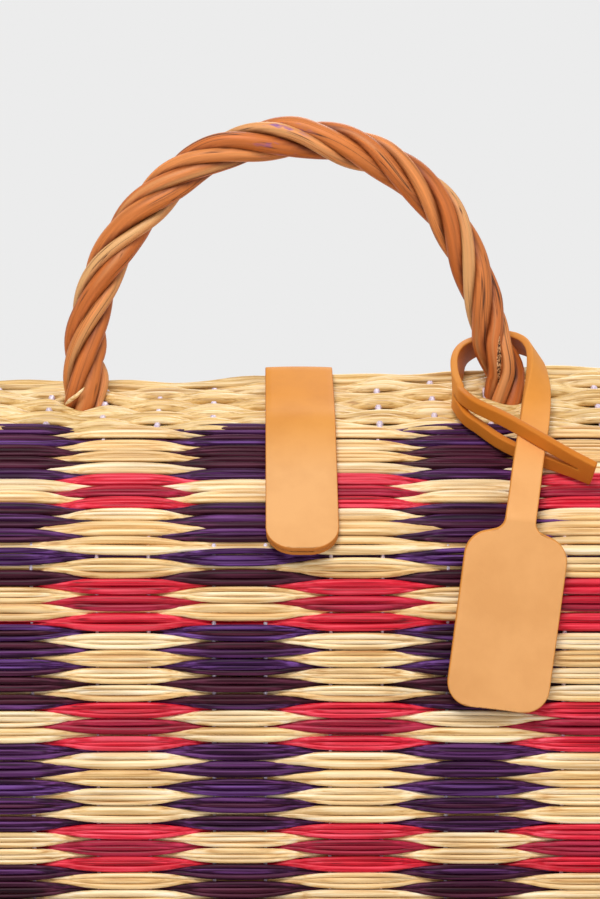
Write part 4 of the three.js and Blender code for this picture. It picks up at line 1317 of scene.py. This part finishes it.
# Luggage tag: one flat piece, a rounded plate and a strap with a slit near its end. The
# strap goes round the handle's right leg and is drawn through the slit. Each place on its
# route comes with the direction of its width. Up the slope a place is x beside the leg,
# distance up from the fold and height over the mat; round the leg it is taken from the
# leg's line at the crest's height. The places are those of the frame's own tag: points picked
# by eye on the photo, each with a guessed depth, which a script turned into mm
tag = {
    "half": 21, "length": 73.5, "corner": 10.5, "droop": 18, "neck": 6.4, "fillet": 5, "tilt": 7, "hang": 1.7,
    "neckRise": 11.7, "standoff": 1.5, "thickness": 3.2, "strapHalf": 6.3, "slit": 0.3, "soft": 0.6,
    "curl": 0.9, "curlReach": 40, "rowStep": 1.5, "plateStep": 3, "cornerSteps": 8, "columns": 14,
    "substeps": 16, "easing": 90,
    "up": [
        ((1.2, 20.9, 8.6), (0.99, 0, -0.12)), ((3.3, 33.4, 9.2), (0.99, 0, -0.12)),
        ((5.8, 46.6, 9.2), (0.99, 0, -0.12)), ((8.6, 60.3, 9), (0.98, 0.1, -0.12)),
    ],
    "round": [
        ((10.7, -29, -9.6), (0.9, 0.42, -0.1)), ((12.7, -19.4, -1.6), (0.72, 0.68, -0.1)),
        ((13.2, -11.3, 5.4), (0.5, 0.85, -0.15)), ((13, -3.2, 10.1), (0.36, 0.86, -0.36)),
        ((10.1, 6.6, 13.4), (0.2, 0.84, -0.51)), ((3.3, 14.7, 14.9), (0.06, 0.78, -0.62)),
        ((-5.2, 17.7, 14.2), (0, 0.77, -0.64)), ((-12.8, 14.8, 11.9), (0.1, 0.8, -0.6)),
        ((-18.2, 6.7, 9.1), (0.26, 0.85, -0.46)), ((-21.1, -2.3, 4.8), (0.36, 0.86, -0.36)),
        ((-22.8, -12.3, -1.6), (0.12, 0.85, -0.51)), ((-22.4, -23, -7.5), (-0.2, 0.74, -0.64)),
    ],
    "upper": [
        ((-17.3, 67.6, 13.5), (-0.06, 0.58, -0.81)), ((-10.6, 62.8, 13.6), (0, 0.47, -0.88)),
        ((-5.1, 58.5, 14.2), (0, 0.45, -0.89)), ((5.6, 49.6, 14.2), (0, 0.45, -0.89)),
        ((17.1, 41.4, 12.5), (0, 0.52, -0.85)),
    ],
    "lower": [
        ((-19.2, 66.5, 5.1), (-0.12, 0.6, -0.8)), ((-15.3, 64.3, 4.4), (-0.05, 0.55, -0.83)),
        ((-9.9, 58.3, 4), (0, 0.5, -0.87)), ((-3.7, 52.8, 3.9), (0, 0.5, -0.87)),
        ((3.8, 47.8, 3.9), (0, 0.5, -0.87)), ((12.3, 43.8, 3.9), (0, 0.5, -0.87)),
    ],
    "end": [((23.9, 37.1, 8), (0, 0.6, -0.8)), ((31.2, 33.3, 7), (0, 0.68, -0.73))],
}


def besideLeg(place):
    (aside, distance, height), spread = place
    crest, shoulder, fold = (Vector(corner) for corner in basket["corners"][:3])
    slope = shoulder - fold
    upSlope, upBand = slope.normalized(), (crest - shoulder).normalized()
    if distance > slope.length:
        point = shoulder + upBand * (distance - slope.length) + leftOf(upBand) * height
    else:
        point = fold + upSlope * distance + leftOf(upSlope) * height
    return Vector((basket["legX"] + aside, point.x, point.y)), Vector(spread).normalized()


def roundLeg(place):
    offset, spread = place
    return Vector((basket["legX"], handle["y"], handle["base"])) + Vector(offset), Vector(spread).normalized()


def catmull(values, i, share):
    # The smooth curve through the values, between value i and the next
    p1, p2 = values[i], values[i + 1]
    p0 = values[i - 1] if i else p1 * 2 - p2
    p3 = values[i + 2] if i + 2 < len(values) else p2 * 2 - p1
    t0 = -((p1 - p0).length ** 0.5)
    t2 = (p2 - p1).length ** 0.5
    t3 = t2 + (p3 - p2).length ** 0.5
    at = share * t2
    a1 = p0 * (at / t0) + p1 * ((at - t0) / -t0)
    a2 = p1 * ((t2 - at) / t2) + p2 * (at / t2)
    a3 = p2 * ((t3 - at) / (t3 - t2)) + p3 * ((at - t2) / (t3 - t2))
    b1 = a1 * ((t2 - at) / (t2 - t0)) + a2 * ((at - t0) / (t2 - t0))
    b2 = a2 * ((t3 - at) / t3) + a3 * (at / t3)
    return b1 * ((t2 - at) / t2) + b2 * (at / t2)


class Ribbon:
    # A strip's middle line, with the direction of its width, from one station to the last
    def __init__(self, stops, first=0):
        centres = [centre for centre, _ in stops]
        self.frames = []
        for i in range(first, len(stops) - 1):
            for k in range(tag["substeps"]):
                share = k / tag["substeps"]
                spread = stops[i][1].lerp(stops[i + 1][1], smooth(share))
                self.frames.append((catmull(centres, i, share), spread))
        self.frames.append(stops[-1])
        for _ in range(tag["easing"]):
            self.ease()
        self.lengths = [0.0]
        for before, after in zip(self.frames, self.frames[1:]):
            self.lengths.append(self.lengths[-1] + (after[0] - before[0]).length)
        self.length = self.lengths[-1]

    def ease(self):
        trios = zip(self.frames, self.frames[1:], self.frames[2:])
        eased = [tuple((a + 2 * b + c) / 4 for a, b, c in zip(*trio)) for trio in trios]
        self.frames[1:-1] = eased

    def place(self, across, along, height):
        i = min(max(bisect.bisect_right(self.lengths, along), 1), len(self.frames) - 1)
        before, after = self.frames[i - 1], self.frames[i]
        share = (along - self.lengths[i - 1]) / (self.lengths[i] - self.lengths[i - 1])
        ahead = self.frames[min(i + 1, len(self.frames) - 1)][0] - self.frames[max(i - 2, 0)][0]
        direction = ahead.normalized()
        spread = before[1].lerp(after[1], min(max(share, 0), 1))
        spread = (spread - direction * spread.dot(direction)).normalized()
        return before[0].lerp(after[0], share) + spread * across + spread.cross(direction) * height


def shifted(stop, distance):
    return stop[0] + stop[1] * distance, stop[1]


def plateRows():
    # Rounded corners, shoulders that droop, and fillets where the strap leaves the plate
    corner, fillet, half, strapHalf = tag["corner"], tag["fillet"], tag["half"], tag["strapHalf"]
    rows = cornerRows(corner, half)
    rows += [(along, half) for along in stations(corner, tag["length"] - corner, tag["plateStep"])[1:-1]]
    turn = math.radians(90 - tag["droop"])
    angles = [turn * k / tag["cornerSteps"] for k in range(tag["cornerSteps"] + 1)]
    for angle in angles:
        rows.append((tag["length"] - corner * (1 - math.sin(angle)), half - corner * (1 - math.cos(angle))))
    filletFrom = rows[-1][0] + (rows[-1][1] - strapHalf - fillet * (1 - math.cos(turn))) / math.tan(turn)
    for angle in reversed(angles):
        rise = fillet * (math.sin(turn) - math.sin(angle))
        rows.append((filletFrom + rise, strapHalf + fillet * (1 - math.cos(angle))))
    return rows


def makeTag():
    tilt = math.radians(tag["tilt"])
    acrossPlate = Vector((math.cos(tilt), 0, -math.sin(tilt)))
    upPlate = Vector((math.sin(tilt), 0, math.cos(tilt)))
    frontY, foldZ = basket["corners"][2]
    plateY = frontY - tag["standoff"] - tag["thickness"] / 2
    neck = Vector((basket["legX"] - tag["hang"], plateY, foldZ + tag["neckRise"]))
    route = [(neck - upPlate * tag["neck"], acrossPlate), (neck, acrossPlate)]
    route += [besideLeg(place) for place in tag["up"]] + [roundLeg(place) for place in tag["round"]]
    end = [besideLeg(place) for place in tag["end"]]
    aside = (tag["strapHalf"] + tag["slit"] / 2) / 2
    limbs = {}
    for name, side in (("upper", -1), ("lower", 1)):
        stops = [shifted(stop, side * aside) for stop in route[-2:]]
        stops += [besideLeg(place) for place in tag[name]]
        limbs[side] = Ribbon(stops + [shifted(stop, side * aside) for stop in end], 1)
        limbs[side].length -= (end[1][0] - end[0][0]).length
    strap, tip = Ribbon(route, 1), Ribbon(end)
    strapFrom = tag["length"] + tag["neck"]
    slitFrom = strapFrom + strap.length
    slitTo = slitFrom + (limbs[-1].length + limbs[1].length) / 2
    whole = slitTo + tip.length

    def bend(across, along, height):
        if along <= strapFrom:
            nearFoot = smooth((tag["length"] - along) / tag["curlReach"])
            curl = tag["curl"] * (across / tag["half"]) ** 2 * nearFoot
            return neck + acrossPlate * across + upPlate * (along - strapFrom) - Vector((0, height + curl, 0))
        if along <= slitFrom:
            return strap.place(across, along - strapFrom, height)
        if along < slitTo:
            side = math.copysign(1, across)
            limb = limbs[side]
            share = (along - slitFrom) / (slitTo - slitFrom)
            return limb.place(across - side * aside, share * limb.length, height)
        return tip.place(across, along - slitTo, height)

    rows = plateRows()
    for low, high in ((rows[-1][0], slitFrom), (slitFrom, slitTo), (slitTo, whole)):
        rows += [(along, tag["strapHalf"]) for along in stations(low, high, tag["rowStep"])[1:]]
    slit = (slitFrom, slitTo, tag["slit"])
    piece = cutLeather(
        "tagLeather", tagLeather, rows, tag["columns"], tag["thickness"], bend, tag["soft"], slit,
    )
    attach(piece, "tag")
    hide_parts("luggage_tag")
    print("tag cut and looped", round(whole), "mm of leather")


makeTag()

# CAD nodes whose shape is right get their finish
cadFinishes = {
    "rim_rod": stiffenerWillow, "lid_rod": stiffenerWillow, "handle_core": stiffenerWillow,
    "snap_base": nickelPlate, "snap_washer": nickelPlate, "tab_magnet": nickelPlate,
    "tab_rivet_left": nickelPlate, "tab_rivet_right": nickelPlate, "tab_patch": tabLeather,
}


def finishCadNodes():
    for name, material in cadFinishes.items():
        mesh = cadNodes[name].data
        mesh.materials.clear()
        mesh.materials.append(material)
    print("frame pieces finished")


finishCadNodes()

bpy.context.view_layer.update()
